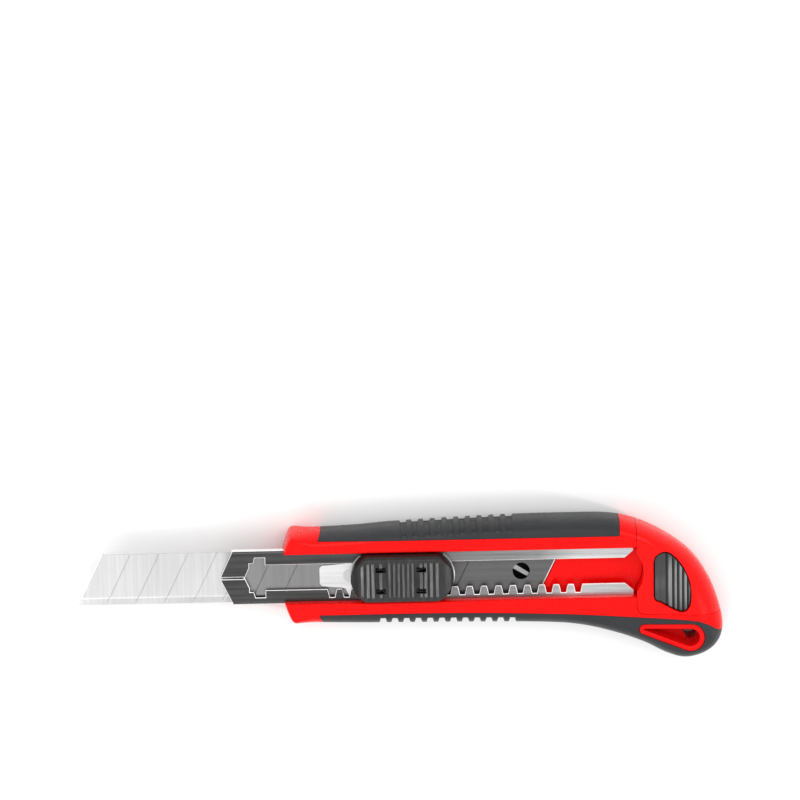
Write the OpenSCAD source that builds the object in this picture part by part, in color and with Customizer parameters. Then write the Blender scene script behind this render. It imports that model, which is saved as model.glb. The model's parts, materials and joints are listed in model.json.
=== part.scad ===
// Snap-off knife, 18 mm, with an auto-lock slider and a magazine for spare blades.
// The knife lies on its back: +X towards the butt, +Y towards the spine, +Z out of the slider face.
// Inside this file the blade's centreline is y = 0. place() moves the finished node so that the
// whole knife is centred on the origin and stands on z = 0.

/* [Blade] */
// Width of the blade
blade_w = 18; // [17.8:0.1:18.1]
// Thickness of the blade
blade_t = 0.5; // [0.4:0.05:0.5]
// Distance between two score lines
segment_pitch = 10; // [9:0.5:10]
// Number of segments, counted along the centreline
segments = 10; // [9:1:10]
// Score lines that are pressed into the blade
score_lines = 7; // [5:1:8]
// Angle of the score lines to the edge
score_angle = 64; // [59:1:66]
// Depth of a score line
score_depth = 0.12; // [0.05:0.01:0.2]
// Height of the ground bevel
bevel_h = 2.2; // [1.5:0.1:3]
// Diameter of the blade's hole
blade_hole_d = 6; // [5:0.1:6.2]

/* [Sleeve] */
// Outer width of the steel sleeve
sleeve_w = 19.2; // [19.2:0.1:19.4]
// Outer depth of the sleeve
sleeve_h = 3.7; // [3.7:0.1:4]
// Sheet thickness of the sleeve
sheet_t = 0.5; // [0.4:0.05:0.5]
// Width of the slot between the flanges
slot_w = 9; // [8.6:0.1:9.4]
// Distance between two teeth
tooth_pitch = 5; // [5:1:5]
// Depth of the gap between two teeth
tooth_depth = 3; // [2.4:0.1:3.2]

/* [Handle] */
// Thickness of the handle
handle_t = 18; // [17.6:0.1:18.4]
// Thickness of the rubber grip
rubber_t = 2; // [1.8:0.1:2]
// Depth of the finger grooves
groove_depth = 1.4; // [0.8:0.1:1.6]
// Distance between two finger grooves
groove_pitch = 4.07; // [3.9:0.01:4.2]
// Width of the slider window
window_w = 17.5; // [17.3:0.1:17.7]

/* [Thumb piece] */
// Height of the thumb piece's top over the resting surface
thumb_top = 22.3; // [21.8:0.1:22.8]
// Travel of the thumb piece when it is pressed
press_travel = 0.8; // [0.6:0.1:0.8]

/* [Lanyard eye] */
// Diameter of the lanyard hole
lanyard_d = 5.2; // [4.6:0.1:5.4]

/* [Hidden] */
$fn = 32;

casing_red = [0.93, 0.09, 0.08];
rubber_grey = [0.20, 0.21, 0.22];
steel = [0.78, 0.79, 0.80];
dark_plastic = [0.26, 0.27, 0.27];

// The blade's centreline stands this far above the middle of the knife's width.
axis_y = 6.83;
gap = 0.15;       // clearance between pieces that slide on each other
thin = 0.05;      // clearance between stacked sheets
far = 60;         // longer than anything a cut has to pass through

// Levels of the stack inside the sleeve, from the back plate up
sleeve_z = 11;
spare_2_z = sleeve_z + sheet_t + gap;
spare_1_z = spare_2_z + blade_t + thin;
blade_z = spare_1_z + blade_t + 2 * thin;
carrier_z = blade_z + blade_t + thin;
flange_z = sleeve_z + sleeve_h - sheet_t;
flange_top = sleeve_z + sleeve_h;
base_z = flange_top + 0.1;

// Places along the knife
blade_tip_x = -111.8;                       // lowest corner of the front segment
score_run = blade_w / tan(score_angle);     // how far a score line leans over the blade's width
blade_len = segments * segment_pitch;
blade_tail_x = blade_tip_x + score_run / 2 + blade_len;
spare_tail_x = 52;
nose_x = -41.5;
nose_r = 36;
window_end_x = 81.5;
sleeve_nose_x = -62;
sleeve_end_x = 80.7;
plate_end_x = 50;
rest_gap_x = -3.5;                          // the tooth gap that holds the pawl at rest
first_gap_x = rest_gap_x - 4 * tooth_pitch;
tooth_gaps = 18;
thumb_x = 0.8;
thumb_half = 17.8;
thumb_end_r = 9.5;
seam_x = 81.8;
slide_back = 65;                            // travel of the slider towards the butt
pocket_r = 11;
pocket_x = thumb_x + slide_back + thumb_half + 0.5 - pocket_r;
cap_floor = 4.1;

// Half-sections of the handle's edge: how far the flat faces stand in from the outline
back_in = 3.5;
back_h = 7;
front_in = 4.2;
front_h = 8;
edge_steps = 4;

// The nose's two corners
nose_top = 15.4;
nose_low = -16.95;
corner_r = 2.6;                             // more than the rubber's thickness, which moves it inwards
corner_steps = 3;
nose_steps = 7;

// The handle's outline without the nose, from the nose's lower corner round the butt to its upper one
outline_points = [corner_centre(nose_low + corner_r) - [0, corner_r], [-10, -17.6], [20, -18],
                  [48, -18.6], [62, -19.8], [74, -22.8], [84, -26.5], [92, -30.6], [98.5, -32.4], [105, -31], [109.8, -27.3],
                  [111.8, -21.5], [110.6, -14], [107, -4.5], [101, 4.3], [92, 11.3], [82, 16.2],
                  [72, 18.4], [56, 18.7], [36, 18.5], [14, 17.7], [-4, 16.8], [-14, 16],
                  [-28, 15.4],
                  corner_centre(nose_top - corner_r) + [0, corner_r]];
spline_steps = 3;
cap_centre = [70, -5];                      // sees the whole outline, so the ends can fan from it

// Front edges of the rubber: a straight upper strip, and a lower one that widens towards the butt
strip_top_y = 13.1;
strip_end_x = 76;
strip_low = [[-60, -13], [-28, -13], [20, -13.1], [56, -14.3], [80, -15.9], [100, -17.6],
             [106, -19.2], [113, -22.6], [130, -24]];
// Back edge of the rubber: the rim of the butt stays bare
rim_points = [[74, 22], [77, 16.6], [84, 12], [92, 6.6], [99, 0], [103.6, -8], [107.1, -15.3],
              [109.6, -21.4], [114, -26]];
rubber_nose_shift = 10.8;

oval_x = 19;
oval_a = 22.5;
oval_b = 9.7;
oval_t = rubber_t - thin;
peg_x = [oval_x - 14, oval_x + 14];
peg_y = 5.2;
peg_r = 1.2;
screw_at = [[8, 0], [30, -5.6]];
screw_r = 1.2;
screw_head_r = 2.2;

eye_wide = [100.3, -23.9];
eye_narrow = [84.3, -20.6];
eye_wide_r = 4.9;
eye_narrow_r = 1.9;
eye_wall = 1.9;
eye_web = 1.6;

spine_grooves = 10;
spine_groove_x = 1.4;
belly_grooves = 12;
belly_groove_x = -6.1;
groove_w = 2.1;

guide_y = 12.1;
catch_x = 92;
catch_y = [-5, 1];
catch_top = 9.5;

// A smooth curve through the points, with n steps between each two
function knot(p, i) = p[max(0, min(len(p) - 1, i))];
function curve_at(a, b, c, d, t) =
    0.5 * (2 * b + (c - a) * t + (2 * a - 5 * b + 4 * c - d) * t * t
           + (3 * b - a - 3 * c + d) * t * t * t);
function smooth(p, n) =
    concat([for (i = [0 : len(p) - 2], k = [0 : n - 1])
                curve_at(knot(p, i - 1), p[i], p[i + 1], knot(p, i + 2), k / n)],
           [p[len(p) - 1]]);

function nose_at(y) = nose_x + nose_r - sqrt(nose_r * nose_r - y * y);

// The nose is an arc, and a small arc touches it and each long edge
function corner_centre(y) = [nose_x + nose_r - sqrt(pow(nose_r - corner_r, 2) - y * y), y];
function corner_angle(c) = 180 + atan(-c[1] / (nose_x + nose_r - c[0]));
function arc(c, r, a0, a1, n, last) =
    [for (i = [1 : last]) let (a = a0 + (a1 - a0) * i / n) c + r * [cos(a), sin(a)]];
top_c = corner_centre(nose_top - corner_r);
low_c = corner_centre(nose_low + corner_r);
outline = concat(smooth(outline_points, spline_steps),
                 arc(top_c, corner_r, 90, corner_angle(top_c), corner_steps, corner_steps),
                 arc([nose_x + nose_r, 0], nose_r, corner_angle(top_c), corner_angle(low_c), nose_steps, nose_steps),
                 arc(low_c, corner_r, corner_angle(low_c), 270, corner_steps, corner_steps - 1));

// Inward normal of the closed outline at point i
function side(p, i) = let (n = len(p), d = p[(i + 1) % n] - p[(i + n - 1) % n]) [-d[1], d[0]] / norm(d);
// The nose keeps a thin edge: its points move in only a little
function edge_share(x) = max(0.25, min(1, (x - nose_x) / 12));
function ring(inset, skin, z) =
    [for (i = [0 : len(outline) - 1])
        let (p = outline[i], q = p + side(outline, i) * max(skin, inset * edge_share(p[0])))
        [q[0], q[1], z]];

// The handle's outer shape, moved in by skin: two quarter ellipses make its rounded edges.
// They run on past both flat faces, which a block then cuts, so that each of those is one plane
module handle(skin = 0) {
    over = 0.02;
    back = [for (k = [0 : edge_steps]) let (a = 90 * k / edge_steps)
               ring(back_in - (back_in - skin) * sin(a), skin, back_h - (back_h - skin + over) * cos(a))];
    front = [for (k = [0 : edge_steps]) let (a = 90 * (1 - k / edge_steps))
                ring(front_in - (front_in - skin) * sin(a), skin,
                     handle_t - front_h + (front_h - skin + over) * cos(a))];
    rings = concat([ring(back_in, skin, skin - 1)], back, front, [ring(front_in, skin, handle_t - skin + 1)]);
    n = len(outline);
    rows = len(rings);
    points = concat([for (r = rings, p = r) p],
                    [[cap_centre[0], cap_centre[1], skin - 1], [cap_centre[0], cap_centre[1], handle_t - skin + 1]]);
    difference() {
        polyhedron(points,
            concat([for (r = [0 : rows - 2], i = [0 : n - 1]) let (j = (i + 1) % n)
                       [r * n + j, r * n + i, (r + 1) * n + i]],
                   [for (r = [0 : rows - 2], i = [0 : n - 1]) let (j = (i + 1) % n)
                       [r * n + j, (r + 1) * n + i, (r + 1) * n + j]],
                   [for (i = [0 : n - 1]) [rows * n, i, (i + 1) % n]],
                   [for (i = [0 : n - 1]) [rows * n + 1, (rows - 1) * n + (i + 1) % n, (rows - 1) * n + i]]));
        block(-far, 2 * far, -far, far, -2, skin);
        block(-far, 2 * far, -far, far, handle_t - skin, handle_t + 2);
    }
}

module place() { translate([0, axis_y, 0]) children(); }

module slab(z0, z1) { translate([0, 0, z0]) linear_extrude(z1 - z0) children(); }

module block(x0, x1, y0, y1, z0, z1) { translate([x0, y0, z0]) cube([x1 - x0, y1 - y0, z1 - z0]); }

module drill(x, y, r, z0, z1) { translate([x, y, z0]) cylinder(r = r, h = z1 - z0, $fn = 32); }

// ---- plan shapes of the handle ----

module nose_band() {
    polygon(concat([for (i = [0 : 9]) let (y = 23 - 5.1 * i) [nose_at(y) + rubber_nose_shift, y]],
                   [[-far, -23], [-far, 23]]));
}

module inside_rim() { polygon(concat(smooth(rim_points, 3), [[114, -far], [-far, -far], [-far, 22]])); }

module front_red() {
    polygon(concat(smooth(strip_low, 3), [[130, far], [strip_end_x + 1, far], [strip_end_x, strip_top_y],
                                          [-60, strip_top_y]]));
}

// Where the casing reaches the outer surface
module bare_zone() {
    slab(-1, handle_t + 1) nose_band();
    slab(back_h + 2, handle_t + 1) front_red();
    slab(-1, back_h + 2) difference() {
        translate([-far, -far]) square([3 * far, 2 * far]);
        inside_rim();
    }
}

// The cap's plan: behind the seam and above the parting line
module cap_plan(c = 0) {
    difference() {
        polygon([[seam_x - c, far], [seam_x - c, -12.5], [seam_x + 0.6 - c, -14.2 - c],
                 [seam_x + 2.2, -15 - c], [112, -16 - c], [112 + far, -16 - c], [112 + far, far]]);
        translate([pocket_x, 0]) circle(r = pocket_r - c, $fn = 64);
    }
}

module cap_zone(c = 0) {
    slab(cap_floor - c, handle_t + 1) cap_plan(c);
    slab(-1, cap_floor) difference() {
        cap_plan(c - thin);
        offset(delta = 0.2 - c) inside_rim();
    }
}

module eye_plan(wall = 0) {
    hull() {
        translate(eye_wide) circle(r = eye_wide_r - wall);
        translate(eye_narrow) circle(r = max(0.4, eye_narrow_r - wall));
    }
}

module oval(grow = 0) {
    translate([oval_x, 0]) scale([(oval_a + grow) / oval_b, (oval_b + grow) / oval_b]) circle(r = oval_b, $fn = 64);
}

// ---- handle ----

module channel() {
    half = sleeve_w / 2 + 0.1;
    block(-far, window_end_x + 4, -half, half, sleeve_z - thin, flange_top + thin);
    block(-far, window_end_x + 4, -window_w / 2, window_w / 2, sleeve_z, handle_t + 1);
}

module casing() {
    core_z = rubber_t + 1.8;
    place() color(casing_red) difference() {
        union() {
            handle(rubber_t);
            intersection() {
                handle();
                bare_zone();
            }
        }
        difference() {
            channel();
            // The floor behind the sleeve's back plate is solid, with a slanted stop for the spare blades
            block(plate_end_x + 0.4, seam_x + 4, -sleeve_w / 2 + 0.8, sleeve_w / 2 - 0.8, sleeve_z - 1, sleeve_z + 0.05);
            stop_rib();
        }
        // Core-outs under the sleeve, left open for the magazine's spring
        for (x = [-35, -20, -5]) block(x, x + 13, -6.9, 6.9 - (x > -10 ? 3.5 : 0), core_z, sleeve_z + 1);
        block(12, 26, -6.9, 6.9, core_z, sleeve_z + 1);
        block(25.9, 34.1, -2.6, 6.9, core_z, sleeve_z + 1);
        block(34, 48, -6.9, 6.9, core_z, sleeve_z + 1);
        for (s = screw_at) {
            drill(s[0], s[1], screw_r + 0.15, 0, sleeve_z + 1);
            drill(s[0], s[1], screw_head_r + 0.15, rubber_t - 0.1, rubber_t + 2.2);
        }
        for (x = peg_x) drill(x, peg_y, peg_r + 0.1, rubber_t - 1, rubber_t + 1.6);
        slab(-1, handle_t + 1) eye_plan(-0.05);
        // The cap's place, with the slots for its guides
        difference() {
            cap_zone(gap);
            block(catch_x, catch_x + 4, catch_y[0], catch_y[1], cap_floor - 1, catch_top);
        }
        for (y = [-1, 1]) block(68.5, seam_x + 1, y * guide_y - 1.35, y * guide_y + 1.35, 6.9, 9.6);
    }
}

// Slanted rib that the spare blades' tails rest against
module stop_rib() {
    x = spare_tail_x + 0.4;
    lean = 6 / tan(score_angle);
    slab(sleeve_z - 1, spare_1_z + blade_t - thin)
        polygon([[x - lean, -6], [x + lean, 6], [x + lean + 2, 6], [x - lean + 2, -6]]);
}

// Bars over both edges; the grip's grooves are where they stand out of the handle
module finger_grooves() {
    for (k = [0 : spine_grooves - 1]) let (x = spine_groove_x + k * groove_pitch)
        block(x - groove_w / 2, x + groove_w / 2, 15, 24, 1.2, handle_t + 1);
    for (k = [0 : belly_grooves - 1]) let (x = belly_groove_x + k * groove_pitch)
        block(x - groove_w / 2, x + groove_w / 2, -24, -15.6, 1.2, handle_t + 1);
}

module rubber_grip() {
    place() color(rubber_grey) difference() {
        handle();
        handle(rubber_t);
        difference() {
            finger_grooves();
            handle(groove_depth);
        }
        bare_zone();
        cap_zone(gap);
        slab(-1, handle_t + 1) eye_plan(-0.05);
        slab(-1, rubber_t + 1) oval(0.1);
    }
}

module oval_plate() {
    place() color(casing_red) {
        slab(0, oval_t) oval();
        for (x = peg_x) drill(x, peg_y, peg_r, oval_t, rubber_t + 1.5);
    }
}

// Teardrop bush through the butt. The cord's round hole is in the web at half its depth
module lanyard_eyelet() {
    half = handle_t / 2;
    place() color(casing_red) difference() {
        slab(0, handle_t - 0.2) eye_plan();
        slab(-1, half - eye_web / 2) eye_plan(eye_wall);
        slab(half + eye_web / 2, handle_t + 1) eye_plan(eye_wall);
        translate([eye_wide[0], eye_wide[1], 0]) cylinder(d = lanyard_d, h = handle_t, $fn = 48);
    }
}

// ---- steel sleeve and magazine ----

// The nose is a blunt point, and both its faces come together there
module sleeve_plan(x1) {
    half = sleeve_w / 2;
    point = 4.2;
    polygon([[sleeve_nose_x, -0.6], [sleeve_nose_x + point, -half], [x1, -half], [x1, half],
             [sleeve_nose_x + point, half], [sleeve_nose_x, 0.6]]);
}

// The slot starts with a crossed arrow, then runs to the rear end
module slot_plan() {
    half = slot_w / 2;
    polygon([[-53.6, 0], [-52, 3.6], [-52, 5.1], [-50.6, 5.1], [-50, 7.1], [-46.6, 7.1], [-46.6, half],
             [sleeve_end_x - 3, half], [sleeve_end_x + 0.1, half + 2.6], [sleeve_end_x + 0.1, -half - 2.6],
             [sleeve_end_x - 3, -half], [-46.6, -half], [-46.6, -7.1], [-50, -7.1], [-50.6, -5.1],
             [-52, -5.1], [-52, -3.6]]);
    translate([sleeve_nose_x - 1, -0.35]) square([9, 0.7]);
}

// One gap between two teeth, narrower at its foot
module tooth_gap(x) {
    polygon([[x - 1.5, -slot_w / 2 + 0.1], [x - 1.5, -slot_w / 2 - 0.2], [x - 1.25, -slot_w / 2 - 1],
             [x - 0.85, -slot_w / 2 - tooth_depth], [x + 0.85, -slot_w / 2 - tooth_depth],
             [x + 1.25, -slot_w / 2 - 1], [x + 1.5, -slot_w / 2 - 0.2], [x + 1.5, -slot_w / 2 + 0.1]]);
}

module blade_sleeve() {
    half = sleeve_w / 2;
    place() color(steel) difference() {
        slab(sleeve_z, flange_top) sleeve_plan(sleeve_end_x);
        // Inside of the folded sheet, open at both ends
        block(sleeve_nose_x - 1, sleeve_end_x + 1, -half + sheet_t, half - sheet_t, sleeve_z + sheet_t, flange_z);
        slab(flange_z - 0.1, flange_top + 1) slot_plan();
        slab(flange_z - 0.1, flange_top + 1)
            for (k = [0 : tooth_gaps - 1]) tooth_gap(first_gap_x + k * tooth_pitch);
        // Behind the magazine the back plate is cut away
        block(plate_end_x, sleeve_end_x + 1, -half + sheet_t, half - sheet_t, sleeve_z - 1, sleeve_z + 1);
        // Window for the magazine's spring, its rivet and the screws
        block(30, 48, -3.6, 3.6, sleeve_z - 1, sleeve_z + 1);
        drill(17.5, 0, 1.05, sleeve_z - 1, sleeve_z + 1);
        for (s = screw_at) drill(s[0], s[1], screw_r + thin, sleeve_z - 1, sleeve_z + 1);
    }
}

module sleeve_screws() {
    place() color(steel) for (s = screw_at) difference() {
        union() {
            drill(s[0], s[1], screw_head_r, rubber_t + 0.1, rubber_t + 1.9);
            drill(s[0], s[1], screw_r, rubber_t + 1.8, sleeve_z + sheet_t);
        }
        // Cross recess
        for (a = [0, 90]) translate([s[0], s[1], rubber_t]) rotate(a) translate([-1.3, -0.3, 0]) cube([2.6, 0.6, 1]);
    }
}

// Leaf under the back plate. Its slanted arm comes up through the window and lifts the blades
module magazine_spring() {
    leaf_t = 0.3;
    low = sleeve_z - thin - leaf_t;
    high = spare_2_z - thin - leaf_t;
    place() color(steel) {
        difference() {
            block(14.5, 31, -2.4, 2.4, low, low + leaf_t);
            drill(17.5, 0, 1.05, low - 1, low + 1);
        }
        translate([0, 2.4, 0]) rotate([90, 0, 0]) linear_extrude(4.8)
            polygon([[31, low], [36, high], [36, high + leaf_t], [31, low + leaf_t]]);
        slab(high, high + leaf_t)
            polygon([[36, -2.4], [36, 2.4], [38.4, 3.2], [47.2, -2.6], [46, -3.4], [38, 1.4], [37.4, -2.4]]);
    }
}

module magazine_rivet() {
    place() color(steel) {
        drill(17.5, 0, 1, sleeve_z - 0.35, sleeve_z + sheet_t);
        drill(17.5, 0, 1.8, sleeve_z - 0.95, sleeve_z - 0.35);
    }
}

// ---- blades ----

// A blade with its tail's middle at tail_x: ends cut at the score angle, a ground edge, score lines
module snap_blade(tail_x, z) {
    half = blade_w / 2;
    lean = score_run / 2;
    x0 = tail_x - blade_len;
    difference() {
        slab(z, z + blade_t)
            polygon([[x0 - lean, -half], [tail_x - lean, -half], [tail_x + lean, half], [x0 + lean, half]]);
        drill(tail_x - segment_pitch, 0, blade_hole_d / 2, z - 1, z + 1);
        // Ground edge, on the slider face
        translate([x0 - far, -half, z + blade_t]) rotate([atan(blade_t * 0.8 / bevel_h), 0, 0])
            translate([0, -2, 0]) cube([blade_len + 2 * far, bevel_h + 2, blade_t]);
        for (k = [1 : score_lines]) translate([x0 + k * segment_pitch, 0, z + blade_t - score_depth])
            rotate(score_angle) translate([-blade_w, -0.14, 0]) cube([2 * blade_w, 0.28, 1]);
    }
}

module blade() { place() color(steel) snap_blade(blade_tail_x, blade_z); }
module spare_blade_1() { place() color(steel) snap_blade(spare_tail_x, spare_1_z); }
module spare_blade_2() { place() color(steel) snap_blade(spare_tail_x, spare_2_z); }

// ---- slider ----

hole_x = blade_tail_x - segment_pitch;
tab_x = [-6.6, 7.3];
tab_y = 3.8;
rivet_x = [-12.5, 12.8];

// Plate under the flanges. Its tongue shows in the slot in front of the thumb piece
module carrier() {
    place() color(steel) difference() {
        slab(carrier_z, carrier_z + 0.55)
            polygon([[-27, -3.7], [-27.8, -2.9], [-27.8, 2.9], [-27, 3.7], [-24.5, 3.8], [-19, 4.3], [-17.2, 8.5],
                     [14.8, 8.5], [15.8, 7.5], [15.8, -7.5], [14.8, -8.5], [-17.2, -8.5], [-19, -4.6], [-24.5, -4]]);
        drill(hole_x, 0, 1.55, carrier_z - 1, carrier_z + 1);
        for (x = rivet_x) drill(x, 0, 1.3, carrier_z - 1, carrier_z + 1);
        block(rest_gap_x - 1.4, rest_gap_x + 1.4, -8, -2.4, carrier_z - 1, carrier_z + 1);
    }
}

// Stud that drives the blade by its hole
module blade_stud() {
    place() color(steel) {
        drill(hole_x, 0, blade_hole_d / 2 - 0.2, blade_z, carrier_z - 0.02);
        drill(hole_x, 0, 1.5, carrier_z - 0.02, carrier_z + 0.95);
        drill(hole_x, 0, 2.15, carrier_z + 0.57, carrier_z + 0.95);
    }
}

module thumb_plan(grow = 0) {
    half = window_w / 2 - 0.25 + min(0, grow);
    intersection() {
        translate([thumb_x - thumb_half - grow, -half]) square([2 * (thumb_half + grow), 2 * half]);
        translate([thumb_x + thumb_half - thumb_end_r + grow, 0]) circle(r = thumb_end_r, $fn = 64);
    }
    intersection() {
        translate([thumb_x - thumb_half - grow, -half]) square([2 * (thumb_half + grow), 2 * half]);
        translate([thumb_x - thumb_half + thumb_end_r - grow, 0]) circle(r = thumb_end_r, $fn = 64);
    }
    inner = thumb_half + grow - thumb_end_r;
    translate([thumb_x - inner, -half]) square([2 * inner, 2 * half]);
}

// Plate over the flanges with four upright tabs that guide the thumb piece
module slider_base() {
    top = base_z + sheet_t;
    place() color(steel) {
        difference() {
            slab(base_z, top) intersection() {
                thumb_plan(0.4);
                translate([-far, -7.3]) square([2 * far, 14.6]);
            }
            for (x = rivet_x) drill(x, 0, 1.3, base_z - 1, top + 1);
            block(rest_gap_x - 1.1, rest_gap_x + 1.1, -5.2, -2.6, base_z - 1, top + 1);
        }
        for (x = tab_x, y = [-tab_y, tab_y]) block(x - 1.4, x + 1.4, y - 0.3, y + 0.3, top - 0.1, thumb_top - 2.3);
    }
}

module slider_rivets() {
    place() color(steel) for (x = rivet_x) {
        drill(x, 0, 1.25, carrier_z, base_z + sheet_t + 0.7);
        drill(x, 0, 2.2, carrier_z + 0.57, base_z - 0.02);
        drill(x, 0, 2.2, base_z + sheet_t + 0.02, base_z + sheet_t + 0.7);
    }
}

// Arched leaf under the thumb piece. Its finger drops through the slot and hooks into a tooth gap
module lock_spring() {
    leaf_t = 0.35;
    foot = base_z + sheet_t + thin;
    crest = thumb_top - 2.25;
    neck = 18.1;
    place() color(steel) {
        translate([0, 2.2, 0]) rotate([90, 0, 0]) linear_extrude(4.4) polygon([
            [-9.5, foot], [-7, foot], [-2, crest - leaf_t], [3, crest - leaf_t], [8, foot], [10.5, foot],
            [10.5, foot + leaf_t], [8.2, foot + leaf_t], [3.2, crest], [-2.2, crest], [-7.2, foot + leaf_t],
            [-9.5, foot + leaf_t]]);
        block(rest_gap_x - 0.7, rest_gap_x + 0.7, -3.6, -1, neck, neck + leaf_t);
        block(rest_gap_x - 0.7, rest_gap_x + 0.7, -3.6, -3.25, flange_z, neck + leaf_t);
        block(rest_gap_x - 0.7, rest_gap_x + 0.7, -7.2, -3.25, flange_z, flange_z + 0.5);
    }
}

// Ribbed cap of the slider: a shell with four slots over the tabs
module thumb_piece() {
    wall = 1.1;
    skirt = base_z + press_travel + 0.1;
    rib_x = [-13, -11, -9.3, 8.6, 10.8, 12.8];
    place() color(dark_plastic) difference() {
        union() {
            intersection() {
                slab(skirt, thumb_top - 0.7) thumb_plan();
                // The sides lean in towards the ribbed face
                translate([-far, 0, 0]) rotate([90, 0, 90]) linear_extrude(3 * far)
                    polygon([[-8.6, skirt], [-8.6, 17.5], [-7.2, thumb_top], [7.2, thumb_top], [8.6, 17.5], [8.6, skirt]]);
            }
            intersection() {
                slab(thumb_top - 0.8, thumb_top) thumb_plan(-1.2);
                union() {
                    for (x = rib_x) block(x - 0.55, x + 0.55, -6.8, 6.8, skirt, thumb_top);
                    for (x = tab_x) block(x - 0.65, x + 0.65, -6.8, 6.8, skirt, thumb_top);
                    for (k = [0 : 5]) block(-3.6 + 1.6 * k - 0.4, -3.6 + 1.6 * k + 0.4, -6.8, 6.8, skirt, thumb_top - 0.35);
                }
            }
        }
        slab(skirt - 1, thumb_top - 2.2) intersection() {
            thumb_plan(-wall);
            translate([-far, -7.4]) square([2 * far, 14.8]);
        }
        // The ends stop above the base plate, so that the thumb piece can be pressed
        block(-far, far, -7.4, 7.4, skirt - 1, base_z + sheet_t + press_travel + 0.1);
        for (x = tab_x, y = [-tab_y, tab_y]) block(x - 1.75, x + 1.75, y - 0.9, y + 0.9, skirt, thumb_top + 1);
    }
}

// ---- end cap ----

cap_wall = 2;
button_top = 17.9;
button_foot = 14.6;
button_points = [[87.8, 3.2], [89.4, 6.2], [92.2, 6.6], [95.5, 4], [98.4, -0.4], [100, -5.4], [100, -11.2],
                 [98.4, -14], [95.6, -13.8], [90.4, -10.9], [87.8, -8.6]];

module button_plan(c = 0) { offset(r = 0.6) offset(delta = c - 0.6) polygon(button_points); }

module end_cap() {
    place() color(casing_red) {
        difference() {
            intersection() {
                handle();
                cap_zone();
            }
            // Hollow, open towards the casing
            intersection() {
                translate([0, 0, -0.01]) handle(cap_wall);
                slab(cap_floor - 1, far) offset(delta = -cap_wall) cap_plan();
            }
            slab(10, handle_t + 1) button_plan(0.35);
            // The catch passes through the front wall when the cap is pulled off
            block(seam_x - 1, catch_x - 2, catch_y[0] - 0.3, catch_y[1] + 0.3, cap_floor - 1, catch_top + 0.3);
        }
        // Guides that slide into the casing
        for (y = [-1, 1]) block(69, seam_x + 2.4, y * guide_y - 1.2, y * guide_y + 1.2, 7.1, 9.4);
    }
}

module cap_button() {
    rib_x = [91.9, 94.1, 96.3, 98.4];
    place() color(dark_plastic) {
        difference() {
            slab(button_foot, button_top) button_plan();
            for (x = rib_x) block(x - 1.3, x - 0.5, -20, 20, button_top - 0.7, button_top + 1);
        }
        // Flange that stays under the flat of the cap's wall
        slab(button_foot, handle_t - cap_wall - 0.2) intersection() {
            button_plan(0.9);
            offset(delta = -cap_wall - 0.25) cap_plan();
            polygon([for (p = ring(front_in + gap, 0, 0)) [p[0], p[1]]]);
        }
    }
}

// Leaf spring under the button. Its hook holds the cap on the casing's catch
module cap_latch() {
    leaf_t = 0.4;
    place() color(steel) translate([0, -0.5, 0]) rotate([90, 0, 0]) linear_extrude(3.6) polygon([
        [catch_x - 0.6, 7], [catch_x - 0.2, 7], [catch_x - 0.2, 10.6], [catch_x + 9.4, 12.6],
        [catch_x + 9.4, 13], [catch_x + 2, 14.4], [catch_x + 2, 14], [catch_x + 6.6, 12.9], [catch_x - 0.6, 11]]);
}

casing();
rubber_grip();
oval_plate();
lanyard_eyelet();
blade_sleeve();
sleeve_screws();
magazine_spring();
magazine_rivet();
spare_blade_1();
spare_blade_2();
blade();
carrier();
blade_stud();
slider_base();
slider_rivets();
lock_spring();
thumb_piece();
end_cap();
cap_button();
cap_latch();
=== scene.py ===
# %% [markdown]
# # A snap-off knife with a rubber grip
# The knife lies on its back. Its blade slides in a folded steel sleeve, a ribbed thumb piece locks it,
# and a red cap closes the butt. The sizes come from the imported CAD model, and this script gives the
# pieces their smooth outer surfaces and their finishes.

import bpy
import numpy as np
from mathutils import Matrix, Vector
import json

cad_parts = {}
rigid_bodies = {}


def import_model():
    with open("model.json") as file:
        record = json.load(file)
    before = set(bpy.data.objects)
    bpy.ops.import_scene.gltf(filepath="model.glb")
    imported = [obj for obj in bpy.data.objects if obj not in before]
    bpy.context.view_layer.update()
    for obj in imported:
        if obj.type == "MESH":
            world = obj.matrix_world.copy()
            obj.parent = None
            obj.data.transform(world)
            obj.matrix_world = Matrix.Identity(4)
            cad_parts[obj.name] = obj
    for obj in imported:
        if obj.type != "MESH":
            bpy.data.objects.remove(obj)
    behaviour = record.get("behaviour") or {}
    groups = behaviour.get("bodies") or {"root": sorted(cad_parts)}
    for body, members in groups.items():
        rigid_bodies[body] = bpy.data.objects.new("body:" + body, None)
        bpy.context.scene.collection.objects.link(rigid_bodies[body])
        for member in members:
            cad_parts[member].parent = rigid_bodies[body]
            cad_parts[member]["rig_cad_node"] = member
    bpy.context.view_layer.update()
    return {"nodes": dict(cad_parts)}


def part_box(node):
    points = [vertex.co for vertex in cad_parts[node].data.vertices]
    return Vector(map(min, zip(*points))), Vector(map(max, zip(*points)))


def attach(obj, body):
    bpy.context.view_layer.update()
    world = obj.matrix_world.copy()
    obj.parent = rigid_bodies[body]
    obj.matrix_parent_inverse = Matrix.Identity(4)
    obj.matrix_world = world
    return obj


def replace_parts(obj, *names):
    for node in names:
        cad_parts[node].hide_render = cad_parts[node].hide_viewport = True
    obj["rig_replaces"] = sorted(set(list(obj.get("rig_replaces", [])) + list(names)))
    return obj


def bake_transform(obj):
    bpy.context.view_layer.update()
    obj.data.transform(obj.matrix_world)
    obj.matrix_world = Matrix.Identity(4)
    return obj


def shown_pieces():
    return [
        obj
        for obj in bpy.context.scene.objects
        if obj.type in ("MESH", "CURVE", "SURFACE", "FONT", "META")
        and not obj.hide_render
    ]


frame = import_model()
nodes = frame["nodes"]
scene = bpy.context.scene

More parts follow.
